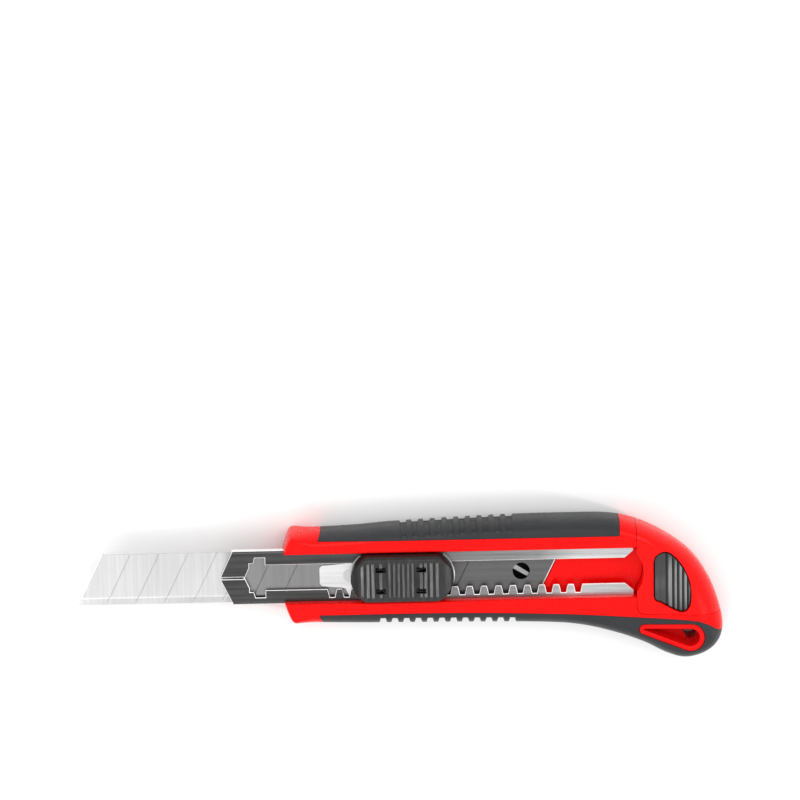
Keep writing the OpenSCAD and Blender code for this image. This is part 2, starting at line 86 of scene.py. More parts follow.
# %% [markdown]
# Shapes are easiest to think of in millimetres from the blade's centreline, so one helper turns them
# into metres in the CAD frame. The centreline lies halfway across the sleeve.

# %% Millimetres to the frame
MM = 0.001
SLEEVE_LOW, SLEEVE_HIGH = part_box("blade_sleeve")
AXIS_Y = (SLEEVE_LOW.y + SLEEVE_HIGH.y) / 2
FAR = 60.0


def to_frame(x, y, z):
    """Points in metres: every coordinate times 0.001, with the centreline's y added."""
    x, y, z = np.broadcast_arrays(np.asarray(x, float), np.asarray(y, float), np.asarray(z, float))
    return np.stack([x * MM, y * MM + AXIS_Y, z * MM], axis=-1)


def node_mm(node):
    """The lowest and highest corner of a CAD node, in millimetres from the centreline."""
    low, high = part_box(node)
    return [np.array([v.x, v.y - AXIS_Y, v.z]) / MM for v in (low, high)]


print("centreline y in mm:", round(AXIS_Y / MM, 3))

# %% [markdown]
# Every surface here is a grid of points, or a flat outline that is pushed up into a block. Its walls
# face outwards if the outline runs anticlockwise, so one that runs the other way is turned round. A
# box is a block on a rectangle, and a rod is one on a circle.

# %% Grids and blocks
def grid_faces(rows, cols, close_rows=False):
    """Quads between neighbouring rows and columns; closing joins the last row to the first."""
    i = np.arange(rows if close_rows else rows - 1)[:, None]
    j = np.arange(cols)[None, :]
    i2, j2 = (i + 1) % rows, (j + 1) % cols
    quads = np.stack([i * cols + j, i * cols + j2, i2 * cols + j2, i2 * cols + j], axis=-1)
    return quads.reshape(-1, 4).tolist()


def new_piece(name, points, faces):
    """An object at the origin from points and faces."""
    mesh = bpy.data.meshes.new(name)
    mesh.from_pydata(points.reshape(-1, 3).tolist(), [], faces)
    mesh.update()
    piece = bpy.data.objects.new(name, mesh)
    scene.collection.objects.link(piece)
    return piece


def loft(name, rings):
    """A closed body from rings of points of shape (rows, cols, 3), with a flat face at each end."""
    rows, cols = rings.shape[:2]
    faces = grid_faces(rows, cols)
    faces.append(list(range(cols))[::-1])
    faces.append([(rows - 1) * cols + j for j in range(cols)])
    return new_piece(name, rings, faces)


def winding(line):
    """The sum of x1 y2 - x2 y1 over the sides of a closed line, which is positive anticlockwise."""
    return np.sum(line[:, 0] * np.roll(line[:, 1], -1) - np.roll(line[:, 0], -1) * line[:, 1])


def anticlockwise(outline):
    """The outline's points, in the order that gives a positive winding."""
    flat = np.asarray(outline, float)
    return flat if winding(flat) > 0 else flat[::-1]


def mirrored(half, flip):
    """The points of half, then the same in reverse times flip, as one outline."""
    half = np.asarray(half, float)
    return np.vstack([half, half[::-1] * flip])


def block(name, outline, z0, z1):
    """An outline of (x, y) points pushed up from z0 to z1, as a two-row loft."""
    flat = anticlockwise(outline)
    return loft(name, np.stack([to_frame(flat[:, 0], flat[:, 1], z) for z in (z0, z1)]))


def bar(name, section, x0, x1):
    """A section of (y, z) points carried along x from x0 to x1, as a two-row loft."""
    flat = anticlockwise(section)
    return loft(name, np.stack([to_frame(x, flat[:, 0], flat[:, 1]) for x in (x0, x1)]))


def box(name, x0, x1, y0, y1, z0, z1):
    return block(name, [(x0, y0), (x1, y0), (x1, y1), (x0, y1)], z0, z1)


def circle(x, y, r, steps=64):
    """(x + r cos a, y + r sin a) for equal steps of a."""
    a = 2 * np.pi * np.arange(steps) / steps
    return np.stack([x + r * np.cos(a), y + r * np.sin(a)], axis=-1)


def rod(name, x, y, r, z0, z1):
    return block(name, circle(x, y, r), z0, z1)


# %% [markdown]
# The real mouldings are one body with pockets cut out of it. Boolean cuts on dense closed meshes do the
# same, and the cutter is thrown away afterwards.

# %% Cutting and joining
def apply_modifiers(piece):
    """The mesh that the piece's modifiers make takes the place of its own."""
    graph = bpy.context.evaluated_depsgraph_get()
    made = bpy.data.meshes.new_from_object(piece.evaluated_get(graph))
    piece.modifiers.clear()
    old, piece.data = piece.data, made
    bpy.data.meshes.remove(old)


def open_edges(piece):
    """How many edges aren't shared by exactly two faces."""
    edge_of = np.empty(len(piece.data.loops), np.int32)
    piece.data.loops.foreach_get("edge_index", edge_of)
    return int(np.sum(np.bincount(edge_of, minlength=len(piece.data.edges)) != 2))


def combine(piece, other, how):
    """piece becomes the UNION, INTERSECT or DIFFERENCE of both, and other is removed."""
    change = piece.modifiers.new("combine", "BOOLEAN")
    change.operation = how
    change.solver = "MANIFOLD"
    change.object = other
    apply_modifiers(piece)
    bpy.data.objects.remove(other)
    return piece


def cut(piece, *others):
    for other in others:
        combine(piece, other, "DIFFERENCE")
    return piece


def join(piece, *others):
    for other in others:
        combine(piece, other, "UNION")
    return piece


def common(piece, other):
    return combine(piece, other, "INTERSECT")


# %% [markdown]
# A finished moulding has no razor-sharp edges. A narrow bevel catches the light along every real edge,
# and normals weighted by face area keep the broad flat faces flat to the eye. A sheared steel edge has a
# finish of its own, by the bevel's slot, partly bare steel and partly a painted highlight. Its width isn't
# clamped, or one tiny edge would shrink it all.

# %% Finishing a piece
SHARP = np.radians(32)


WELD_REACH = 2e-6


def merge_points(piece, reach, flat_angle=0.0):
    """Points within reach of each other become one, and faces that meet at under flat_angle too."""
    for other in scene.objects:
        other.select_set(False)
    bpy.context.view_layer.objects.active = piece
    piece.select_set(True)
    bpy.ops.object.mode_set(mode="EDIT")
    bpy.ops.mesh.select_all(action="SELECT")
    bpy.ops.mesh.remove_doubles(threshold=reach)
    if flat_angle:
        bpy.ops.mesh.dissolve_limited(angle_limit=flat_angle)
    bpy.ops.object.mode_set(mode="OBJECT")


def finish_piece(piece, body, node, bevel=0.0, bevel_slot=-1):
    """Doubles merged, edges over the sharp angle bevelled by so many mm, and the node replaced.
    A leaf that bends between two bodies is given no bevel and no body."""
    merge_points(piece, WELD_REACH)
    piece.data.shade_smooth()
    piece.data.set_sharp_from_angle(angle=SHARP)
    if bevel:
        edge = piece.modifiers.new("edge", "BEVEL")
        edge.width = bevel * MM
        edge.segments = 2
        edge.limit_method = "ANGLE"
        edge.angle_limit = SHARP
        edge.use_clamp_overlap = bevel_slot < 0
        edge.material = bevel_slot
    weigh = piece.modifiers.new("weigh", "WEIGHTED_NORMAL")
    weigh.keep_sharp = True
    if body:
        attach(piece, body)
    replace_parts(piece, node)
    print(piece.name, len(piece.data.vertices), "vertices,", open_edges(piece), "open edges")


# %% [markdown]
# ## The handle's outline
# Seen from above the handle is a long body with a drooping butt. A Catmull-Rom curve through a few
# points gives the long edges, and arcs that touch each other give the nose.

# %% Outline
NOSE_X, NOSE_R, CORNER_R = -41.5, 36.0, 2.6
NOSE_TOP, NOSE_LOW = 15.4, -16.95
THICK = 18.0


def smooth_curve(points, steps):
    """Catmull-Rom: between b and c, 0.5 (2b + (c-a)t + (2a-5b+4c-d)t^2 + (3b-a-3c+d)t^3)."""
    p = np.asarray(points, float)
    a, b, c, d = np.vstack([p[:1], p[:-2]]), p[:-1], p[1:], np.vstack([p[2:], p[-1:]])
    t = (np.arange(steps) / steps)[None, :, None]
    a, b, c, d = (q[:, None, :] for q in (a, b, c, d))
    curve = 0.5 * (2 * b + (c - a) * t + (2 * a - 5 * b + 4 * c - d) * t**2
        + (3 * b - a - 3 * c + d) * t**3)
    return np.vstack([curve.reshape(-1, 2), p[-1:]])


def corner_centre(y):
    """Centre of the small arc that touches the nose arc from inside and the long edge."""
    return np.array([NOSE_X + NOSE_R - np.sqrt((NOSE_R - CORNER_R) ** 2 - y * y), y])


def arc(centre, r, a0, a1, steps):
    """The centre + r (cos a, sin a) for equal steps of a from a0 to a1 degrees."""
    a = np.radians(np.linspace(a0, a1, steps + 1))
    return np.stack([centre[0] + r * np.cos(a), centre[1] + r * np.sin(a)], axis=-1)


top_c, low_c = corner_centre(NOSE_TOP - CORNER_R), corner_centre(NOSE_LOW + CORNER_R)
nose_c = np.array([NOSE_X + NOSE_R, 0.0])
top_a, low_a = (180 + np.degrees(np.arctan(-c[1] / (nose_c[0] - c[0]))) for c in (top_c, low_c))
EDGE = [low_c - [0, CORNER_R], [-10, -17.6], [20, -18], [48, -18.6], [62, -19.8], [74, -22.8], [84, -26.5],
    [92, -30.6], [98.5, -32.4], [105, -31], [109.8, -27.3], [111.8, -21.5], [110.6, -14], [107, -4.5],
    [101, 4.3], [92, 11.3], [82, 16.2], [72, 18.4], [56, 18.7], [36, 18.5], [14, 17.7], [-4, 16.8],
    [-14, 16], [-28, 15.4], top_c + [0, CORNER_R]]
fine_line = np.vstack([smooth_curve(EDGE, 60)[:-1], arc(top_c, CORNER_R, 90, top_a, 30)[:-1],
    arc(nose_c, NOSE_R, top_a, low_a, 120)[:-1],
    arc(low_c, CORNER_R, low_a, 270, 30)[:-1]])
print("outline points:", len(fine_line))

# %% [markdown]
# The ribs need close points and the rest doesn't, so the outline is divided again by a density: short
# steps along the ribs, long ones elsewhere. The inward normal is the tangent turned left.

# %% Dividing the outline
SPINE_X, SPINE_N = 1.4, 10
BELLY_X, BELLY_N = -6.1, 12
PITCH, GROOVE_W, GROOVE_DEPTH = 4.07, 2.1, 1.4
SHOULDER = 0.30
NOSE_CORNERS_X = -34.0


def divided(line, fine_step, coarse_step):
    """Points and inward normals at equal steps of the integral of 1 / step along the line."""
    closed = np.vstack([line, line[:1]])
    middle = (closed[1:] + closed[:-1]) / 2
    ribs = (middle[:, 0] > BELLY_X - 3) & (middle[:, 0] < BELLY_X + BELLY_N * PITCH + 1)
    corner = middle[:, 0] < NOSE_CORNERS_X
    step = np.where(ribs | corner, fine_step, coarse_step)
    run = np.concatenate([[0], np.cumsum(np.linalg.norm(np.diff(closed, axis=0), axis=1) / step)])
    at = np.linspace(0, run[-1], int(run[-1]), endpoint=False)
    tangent = np.roll(line, -1, axis=0) - np.roll(line, 1, axis=0)
    tangent = np.vstack([tangent, tangent[:1]])
    t = np.stack([np.interp(at, run, tangent[:, k]) for k in (0, 1)], axis=-1)
    t /= np.linalg.norm(t, axis=1, keepdims=True)
    points = np.stack([np.interp(at, run, closed[:, k]) for k in (0, 1)], axis=-1)
    return points, np.stack([-t[:, 1], t[:, 0]], axis=-1)


def smoothstep(low, high, v):
    """0 below low, 1 above high, and 3t^2 - 2t^3 between them."""
    t = np.clip((v - low) / (high - low), 0, 1)
    return t * t * (3 - 2 * t)


def rib_wave(x, first, count):
    """1 in the middle of each groove and 0 on the ribs, with soft shoulders."""
    k = np.clip(np.round((x - first) / PITCH), 0, count - 1)
    off = np.abs(x - (first + k * PITCH))
    return 1 - smoothstep(GROOVE_W / 2 - SHOULDER, GROOVE_W / 2 + SHOULDER, off)


grooved_line, plain_line = divided(fine_line, 0.22, 0.8), divided(fine_line, 0.7, 0.9)
print("points round the handle:", len(grooved_line[0]), "with grooves,", len(plain_line[0]), "without")

# %% [markdown]
# The handle's edge is two quarter ellipses, a lower one on the back and a higher one on the front.
# Both get narrower near the nose, and the front one wider round the butt, so the cap is domed. `skin`
# moves the surface inwards, for the inside of the rubber and of the cap, and the grooves fade out
# before the flat back and front.

# %% The handle's surface
BACK_IN, BACK_H = 3.5, 7.0
FRONT_IN, FRONT_H = 4.2, 8.0
DOME_IN, DOME_H = 9.5, 9.5
DOME_FROM, DOME_TO = (86, -26), (104, -14)
NOSE_RUN, NOSE_SHARE = 12, 0.25
BACK_FADE, FRONT_FADE = (1.2, 2.2), (2.3, 3.5)


def handle_rings(points, normals, skin, grooves, steps=16):
    """Rings from the back face to the front one. At angle a of an edge that is `wide` and `high`:
    the inset is wide - (wide - skin) sin a and the height above the edge's foot is (high - skin) cos a."""
    x, y = points[:, 0], points[:, 1]
    share = np.clip((x - NOSE_X) / NOSE_RUN, NOSE_SHARE, 1)
    dome = smoothstep(DOME_FROM[0], DOME_TO[0], x) * smoothstep(DOME_FROM[1], DOME_TO[1], y)
    wide, high = FRONT_IN + (DOME_IN - FRONT_IN) * dome, FRONT_H + (DOME_H - FRONT_H) * dome
    wave = np.where(y > 0, rib_wave(x, SPINE_X, SPINE_N), rib_wave(x, BELLY_X, BELLY_N))[None]
    depth = GROOVE_DEPTH * wave if grooves else 0 * wave

    def edge(a, wide, high, fade):
        """The inset, the height over the foot and the depth at each angle."""
        s = np.maximum(skin, depth * (1 - smoothstep(*fade, wide - wide * np.sin(a))))
        return wide - (wide - s) * np.sin(a), (high - s) * np.cos(a), s

    a = np.radians(np.linspace(0, 90, steps))[:, None]
    back_inset, back_up, back_s = edge(a, np.full_like(x, BACK_IN), BACK_H, BACK_FADE)
    front_inset, front_up, front_s = edge(a[::-1], wide, high, FRONT_FADE)
    inset, s = np.vstack([back_inset, front_inset]), np.vstack([back_s, front_s])
    z = np.vstack([BACK_H - back_up, THICK - high + front_up])
    inset = np.maximum(s, inset * share[None])
    return to_frame(x[None] + normals[None, :, 0] * inset, y[None] + normals[None, :, 1] * inset, z)



def handle(name, skin=0.0, grooves=False):
    return loft(name, handle_rings(*(grooved_line if grooves else plain_line), skin, grooves))


# %% [markdown]
# The casing shows at the nose, between the two front strips and round the rim of the butt. Each zone
# is a block, and the rubber's own are a little larger, so that a fine groove parts the two materials.

# %% Zones
PARTING_Z = BACK_H + 2
STRIP_TOP_Y, STRIP_END_X = 13.1, 76.0
STRIP_LOW = smooth_curve([[-60, -13], [-28, -13], [20, -13.1], [56, -14.3], [80, -15.9], [100, -17.6],
    [106, -19.2], [113, -22.6], [130, -24]], 12)
RIM = smooth_curve([[74, 22], [77, 16.6], [84, 12], [92, 6.6], [99, 0], [103.6, -8], [107.1, -15.3],
    [109.6, -21.4], [114, -26]], 12)
RUBBER_NOSE = 10.8


def nose_band(grow):
    """Everything in front of the nose's own circle, moved back by the band's width."""
    y = np.linspace(23, -23, 60)
    x = NOSE_X + NOSE_R - np.sqrt(NOSE_R**2 - y**2) + RUBBER_NOSE + grow
    return np.vstack([np.stack([x, y], axis=-1), [[-FAR, -23], [-FAR, 23]]])


def front_zone(grow):
    """The front between the strips of rubber, and the butt behind the upper one's end."""
    top, end = STRIP_TOP_Y + grow, STRIP_END_X - grow
    return np.vstack([STRIP_LOW - [0, grow], [[130, FAR], [end + 1, FAR], [end, top], [-FAR, top]]])


def rim_zone(grow):
    """Everything outside the curve that the bare rim of the butt follows on the back."""
    return np.vstack([RIM - [grow, grow], [[130, -FAR], [170, -FAR], [170, FAR], [74, FAR]]])


def bare_zone(name, grow=0.0):
    """The nose band, the front and the rim as one body."""
    zone = block(name, nose_band(grow), -1, THICK + 1)
    join(zone, block("front", front_zone(grow), PARTING_Z - grow, THICK + 1))
    return join(zone, block("rim", rim_zone(grow), -1, PARTING_Z + grow + 0.01))


print("parting line:", PARTING_Z)

# %% [markdown]
# The cap's zone is all that lies behind its seam; a little larger, it is cut out of the casing and the
# rubber. The lanyard eye is a teardrop: two circles and the two lines that touch both.

# %% The cap's zone and the eye
SEAM_X, CAP_FLOOR = 81.8, 4.1
POCKET_X, POCKET_R = 73.1, 11.0


def cap_plan(c):
    """Behind the seam, which an arc of the finger pocket breaks, and above the parting line."""
    x = SEAM_X - c
    reach = np.sqrt((POCKET_R - c) ** 2 - (x - POCKET_X) ** 2)
    turn = np.degrees(np.arctan2(reach, x - POCKET_X))
    pocket = arc((POCKET_X, 0), POCKET_R - c, turn, -turn, 40)
    rest = [[x, -12.5], [SEAM_X + 0.6 - c, -14.2 - c], [SEAM_X + 2.2, -15 - c], [112, -16 - c],
        [172, -16 - c], [172, FAR]]
    return np.vstack([[[x, FAR]], pocket, rest])


def cap_zone(name, c=0.0):
    """The plan over the cap's floor, and under it only the rim of the butt."""
    low = block("low", cap_plan(c), -1, CAP_FLOOR + 0.1)
    common(low, block("rim", rim_zone(c - 0.1), -2, CAP_FLOOR + 1))
    return join(block(name, cap_plan(c), CAP_FLOOR - c, THICK + 1), low)


EYE_WIDE, EYE_NARROW = np.array([100.3, -23.9]), np.array([84.3, -20.6])
EYE_WIDE_R, EYE_NARROW_R = 4.9, 1.9


def teardrop(r_wide, r_narrow, steps=96):
    """The hull of two circles, as its two arcs; the normals of the straight sides part them."""
    reach = np.linalg.norm(EYE_WIDE - EYE_NARROW)
    aim = np.degrees(np.arctan2(*(EYE_WIDE - EYE_NARROW)[::-1]))
    lean = np.degrees(np.arccos((r_wide - r_narrow) / reach))
    front = arc(EYE_WIDE, r_wide, aim - 180 + lean, aim + 180 - lean, steps)
    rear = arc(EYE_NARROW, r_narrow, aim + 180 - lean, aim + 180 + lean, steps // 3)
    return np.vstack([front, rear[1:-1]])


def eye_block(grow):
    return block("eye", teardrop(EYE_WIDE_R + grow, EYE_NARROW_R + grow), -1, THICK + 1)


print("points round the eye:", len(teardrop(EYE_WIDE_R, EYE_NARROW_R)))

# %% [markdown]
# ## The casing
# A glossy red body fills the knife under the rubber. It is joined from the inner body and the bare
# zones, with the sleeve's channel and the slider's window cut out.

# %% Casing body
RUBBER_T = 2.0
WINDOW_HALF, WINDOW_END = 8.75, 85.5
casing = handle("casing_body", RUBBER_T)
band = common(handle("band"), bare_zone("bare"))
join(casing, band)
flange_top = SLEEVE_HIGH.z / MM
sleeve_z = SLEEVE_LOW.z / MM
half_w = (SLEEVE_HIGH.y - SLEEVE_LOW.y) / MM / 2
cut(casing, box("channel", -FAR, WINDOW_END, -half_w - 0.1, half_w + 0.1, sleeve_z - 0.05, flange_top + 0.05))
lip = mirrored([(WINDOW_HALF, sleeve_z), (WINDOW_HALF, THICK - 0.6), (WINDOW_HALF + 0.12, THICK - 0.3),
    (WINDOW_HALF + 0.45, THICK), (WINDOW_HALF + 0.45, THICK + 1)], (-1, 1))
cut(casing, bar("window", lip, -FAR, WINDOW_END))
print("sleeve from", round(sleeve_z, 2), "to", round(flange_top, 2))

# %% [markdown]
# Under the sleeve is a pocket for the magazine's spring, and behind the spare blades a stop that leans
# as their ends do. The cap's place is cut out, but for a catch that its latch hooks on, and each side
# has a slot for one of its guides.

# %% Casing details
SCORE_ANGLE = np.radians(64)
POCKET_SPAN, POCKET_HALF, POCKET_FLOOR = (34, 48), 6.9, RUBBER_T + 1.8
STOP_HALF, STOP_W, STOP_GAP, HALF_BLADE = 6, 2, 0.4, 9
CATCH_Y, CATCH_TOP = (-5, 1), 9.5
GUIDE_Y, GUIDE_LOW, GUIDE_HIGH = 12.1, 7.1, 9.4
CAP_GAP = 0.15
cut(casing, box("spring_pocket", *POCKET_SPAN, -POCKET_HALF, POCKET_HALF, POCKET_FLOOR, sleeve_z + 1))
tail_x, spare_top = node_mm("spare_blade_1")[1][[0, 2]]
lean = STOP_HALF / np.tan(SCORE_ANGLE)
stop_x = tail_x - HALF_BLADE / np.tan(SCORE_ANGLE) + STOP_GAP
join(casing, block("stop", [(stop_x - lean, -STOP_HALF), (stop_x - lean + STOP_W, -STOP_HALF),
    (stop_x + lean + STOP_W, STOP_HALF), (stop_x + lean, STOP_HALF)],
    sleeve_z - 1, spare_top - 0.05))
catch_low = node_mm("cap_latch")[0][0] + 0.6
keep = box("keep", catch_low, catch_low + 4, *CATCH_Y, CAP_FLOOR - 1, CATCH_TOP)
cut(casing, cut(cap_zone("cap_room", CAP_GAP), keep))
for side in (-1, 1):
    cut(casing, box("guide", 68.5, SEAM_X + 1, side * GUIDE_Y - 1.35, side * GUIDE_Y + 1.35,
        GUIDE_LOW - 0.2, GUIDE_HIGH + 0.2))
cut(casing, eye_block(0.05))
finish_piece(casing, "handle", "casing")

# %% [markdown]
# ## The rubber grip
# Soft rubber covers the back and both sides. Its finger grooves are part of the lofted surface, so
# they have rounded shoulders, and the same zones that left the casing bare are cut out of it.

# %% Rubber grip
OVAL_X, OVAL_A, OVAL_B = 19.0, 22.5, 9.7
SEAM_GAP = 0.14
grip = cut(handle("rubber_jacket", grooves=True), handle("inside", RUBBER_T))
cut(grip, bare_zone("bare", SEAM_GAP), cap_zone("cap_room", CAP_GAP))
cut(grip, eye_block(0.12))
oval_line = circle(0, 0, 1, 160) * [OVAL_A + SEAM_GAP, OVAL_B + SEAM_GAP] + [OVAL_X, 0]
cut(grip, block("oval", oval_line, -1, RUBBER_T + 1))
finish_piece(grip, "handle", "rubber_grip")

# %% [markdown]
# ## The end cap
# The cap is a hollow red shell that carries the release button. It is the part of the handle's
# surface behind the seam, with its inside moved in by the wall. It has the button's hole, a way for the
# catch through its front wall, and two guides that slide into the casing.

# %% End cap
CAP_WALL = 2.0
cap = common(handle("end_cap_shell"), cap_zone("cap_room"))
hollow_plan = np.vstack([[[SEAM_X + CAP_WALL, FAR]], arc((POCKET_X, 0), POCKET_R + CAP_WALL, 32, -32, 30),
    [[SEAM_X + CAP_WALL, -12], [SEAM_X + 4, -13], [112, -14], [172, -14], [172, FAR]]])
hollow = common(handle("hollow", CAP_WALL), block("plan", hollow_plan, CAP_FLOOR - 1, THICK + 1))
cut(cap, hollow)
button_line = np.array([[87.8, 3.2], [89.4, 6.2], [92.2, 6.6], [95.5, 4], [98.4, -0.4], [100, -5.4],
    [100, -11.2], [98.4, -14], [95.6, -13.8], [90.4, -10.9], [87.8, -8.6]])


def round_line(points, steps=10, grow=0.0):
    """A closed Catmull-Rom curve, moved outwards by grow along its normals."""
    p = np.vstack([points[-2:], points, points[:2]])
    line = smooth_curve(p, steps)[2 * steps:-2 * steps]
    line = line[:-1] if np.allclose(line[0], line[-1]) else line
    t = np.roll(line, -1, axis=0) - np.roll(line, 1, axis=0)
    t /= np.maximum(np.linalg.norm(t, axis=1, keepdims=True), 1e-9)
    return line + grow * np.sign(winding(line)) * np.stack([t[:, 1], -t[:, 0]], axis=-1)


CATCH_ROOM = 0.3
cut(cap, block("button_hole", round_line(button_line, 10, 0.35), 10, THICK + 1))
cut(cap, box("catch_way", SEAM_X - 1, 90, CATCH_Y[0] - CATCH_ROOM, CATCH_Y[1] + CATCH_ROOM,
    CAP_FLOOR - 1, CATCH_TOP + CATCH_ROOM))
for side in (-1, 1):
    join(cap, box("guide", 69, SEAM_X + 2.4, side * GUIDE_Y - 1.2, side * GUIDE_Y + 1.2,
        GUIDE_LOW, GUIDE_HIGH))
finish_piece(cap, "cap", "end_cap")

# %% [markdown]
# ## The release button
# The button has five finger ribs across a D-shaped top, which is a height over a grid whose rows run
# across the button, as the ribs do.

# %% Button
button_low, button_high = node_mm("cap_button")
GROOVES = np.array([91.75, 93.9, 95.6, 97.3, 99.0])
PANEL_DROP, GROOVE_DROP, RIB_RISE = 0.2, 0.6, 1.2


def across(line, x):
    """The lowest and highest y of a closed line at each x, from its lower and upper halves."""
    first, last = np.argmin(line[:, 0]), np.argmax(line[:, 0])
    halves = [np.roll(line, -first, axis=0)[: (last - first) % len(line) + 1],
        np.roll(line, -last, axis=0)[: (first - last) % len(line) + 1][::-1]]
    ys = np.sort(np.stack([np.interp(x, h[:, 0], h[:, 1]) for h in halves]), axis=0)
    return ys[0], ys[1]


def sheet_block(name, x, low, high, top, floor, edge, columns=50):
    """A closed body between two curves y = low(x) and y = high(x). Its top is the height top(x, y),
    which falls by edge (1 - sqrt(1 - u^2)) within edge of the rim, with u from 0 to 1 towards it."""
    v = np.sin(np.linspace(-np.pi / 2, np.pi / 2, columns))
    y = (low + high)[:, None] / 2 + (high - low)[:, None] / 2 * v
    from_ends = np.minimum(x - x[0], x[-1] - x)[:, None]
    from_rim = np.minimum(np.minimum(y - low[:, None], high[:, None] - y), from_ends)
    u = np.clip(1 - from_rim / edge, 0, 1)
    z = top(x[:, None], y) - edge * (1 - np.sqrt(1 - u * u))
    under = np.full_like(y, floor)
    rings = np.concatenate([to_frame(x[:, None], y, z), to_frame(x[:, None], y[:, ::-1], under)], axis=1)
    return loft(name, rings[:, ::-1])


def button_top(x, y):
    """The crown falls by the square of the distance from the middle. Behind each groove the surface
    climbs again by a smoothstep, so the ribs are saw teeth; in front of the first it is flat."""
    crown = button_high[2] - 0.2 * ((y + 4) / 10) ** 2
    k = np.clip(np.searchsorted(GROOVES, x) - 1, 0, len(GROOVES) - 1)
    rib = GROOVE_DROP * (1 - smoothstep(0, RIB_RISE, x - GROOVES[k]))
    return crown - np.where(x < GROOVES[0], PANEL_DROP, rib)


shape = round_line(button_line, 10)
button_x = np.linspace(shape[:, 0].min() + 0.02, shape[:, 0].max() - 0.02, 120)
button_sides = across(shape, button_x)
button = sheet_block("release_button", button_x, *button_sides, button_top, button_low[2], 0.45)
finish_piece(button, "button", "cap_button")

# %% [markdown]
# ## The lanyard eye
# A red teardrop bush runs through the butt, and a thin web at half its depth holds the cord's hole.
# One closed profile is carried round the teardrop: up the outside, over the rim, down the inside, and
# along the web to the hole.

# %% Lanyard eye
eye_low, eye_high = node_mm("lanyard_eyelet")
HOLE_R, EYE_WALL, WEB = 2.6, 1.9, 1.6
EYE_ROUND, EYE_LIP = 0.5, 0.6
half = THICK / 2
fillet = np.radians(np.linspace(0, 90, 6))
rim_off = np.concatenate([EYE_ROUND * (1 - np.cos(fillet)), EYE_WALL - EYE_LIP + EYE_LIP * np.sin(fillet)])
rim_drop = np.concatenate([EYE_ROUND * (1 - np.sin(fillet)), EYE_LIP * (1 - np.cos(fillet))])


def eye_ring(off, z):
    """The teardrop with both its circles smaller by off; the narrow one keeps a little width."""
    return to_frame(*teardrop(EYE_WIDE_R - off, max(EYE_NARROW_R - off, 0.3)).T, z)


around = teardrop(EYE_WIDE_R - EYE_WALL, 0.3) - EYE_WIDE
around /= np.linalg.norm(around, axis=1, keepdims=True)


def hole_ring(z):
    """The cord's hole, with each point in the same direction as the teardrop's own."""
    return to_frame(EYE_WIDE[0] + HOLE_R * around[:, 0], EYE_WIDE[1] + HOLE_R * around[:, 1], z)


upper = [eye_ring(o, eye_high[2] - d) for o, d in zip(rim_off, rim_drop)]
lower = [eye_ring(o, eye_low[2] + d) for o, d in zip(rim_off, rim_drop)][::-1]
web = [eye_ring(EYE_WALL + 0.25, half + WEB / 2), hole_ring(half + WEB / 2),
    hole_ring(half - WEB / 2), eye_ring(EYE_WALL + 0.25, half - WEB / 2)]
rings = np.stack(upper + web + lower)
eye = new_piece("lanyard_bush", rings, grid_faces(*rings.shape[:2], close_rows=True))
finish_piece(eye, "handle", "lanyard_eyelet")

# %% [markdown]
# ## The oval plate
# A red oval is set flush into the rubber of the back. Its face is very slightly crowned and its edge
# is rounded, so the light slides over it.

# %% Oval plate
plate_r = np.array([1.0, 1.0, 0.998, 0.985, 0.96, 0.9, 0.75, 0.55, 0.3, 0.08])
plate_z = np.array([RUBBER_T - 0.05, 0.75, 0.55, 0.36, 0.26, 0.2, 0.12, 0.05, 0.01, 0.0])
ellipse = circle(0, 0, 1, 160)[::-1]
plate = loft("oval_badge_plain", np.stack([
    to_frame(OVAL_X + OVAL_A * r * ellipse[:, 0], OVAL_B * r * ellipse[:, 1], z)
    for r, z in zip(plate_r, plate_z)]))
finish_piece(plate, "handle", "oval_plate")

# %% [markdown]
# ## The steel sleeve
# One strip of stainless sheet is folded into a flat box whose flanges leave a slot. A rounded section
# carried along the knife gives the soft bends, and the slot, the teeth and the pointed nose are cut
# from it as a press tool would.

# %% Sleeve
SHEET = 0.5
FLANGE_Z = flange_top - SHEET
nose_tip, sleeve_end = SLEEVE_LOW.x / MM, SLEEVE_HIGH.x / MM


def rounded_box(half_width, z0, z1, r, steps=8):
    """Four quarter circles of radius r at the corners of a box."""
    corners = [(half_width - r, z0 + r, -90), (half_width - r, z1 - r, 0), (r - half_width, z1 - r, 90),
        (r - half_width, z0 + r, 180)]
    return np.vstack([arc((y, z), r, a, a + 90, steps) for y, z, a in corners])


sleeve = bar("steel_sleeve", rounded_box(half_w, sleeve_z, flange_top, 1.0), nose_tip - 0.5, sleeve_end)
inside = rounded_box(half_w - SHEET, sleeve_z + SHEET, FLANGE_Z, 0.45)
cut(sleeve, bar("inside", inside, -FAR - 5, FAR + 40))
common(sleeve, block("plan", [(nose_tip, -0.6), (nose_tip + 4.2, -half_w), (sleeve_end, -half_w),
    (sleeve_end, half_w), (nose_tip + 4.2, half_w), (nose_tip, 0.6)], 5, 20))
SLOT = 4.5
slot_side = [(-52, 3.6), (-52, 5.1), (-50.6, 5.1), (-50, 7.1), (-46.6, 7.1), (-46.6, SLOT),
    (sleeve_end - 3, SLOT), (sleeve_end + 0.1, SLOT + 2.6)]
slot_line = np.vstack([(-53.6, 0), mirrored(slot_side, (1, -1))])
cut(sleeve, block("slot", slot_line, FLANGE_Z - 0.1, flange_top + 1))
cut(sleeve, box("slit", nose_tip - 1, nose_tip + 8, -0.35, 0.35, FLANGE_Z - 0.1, flange_top + 1))
TOOTH, TEETH, TOOTH_PITCH, FIRST_TOOTH = 3.0, 18, 5, -23.5
tooth_line = mirrored([(-1.5, 0.1), (-1.5, -0.2), (-1.25, -1), (-0.85, -TOOTH)], (-1, 1))
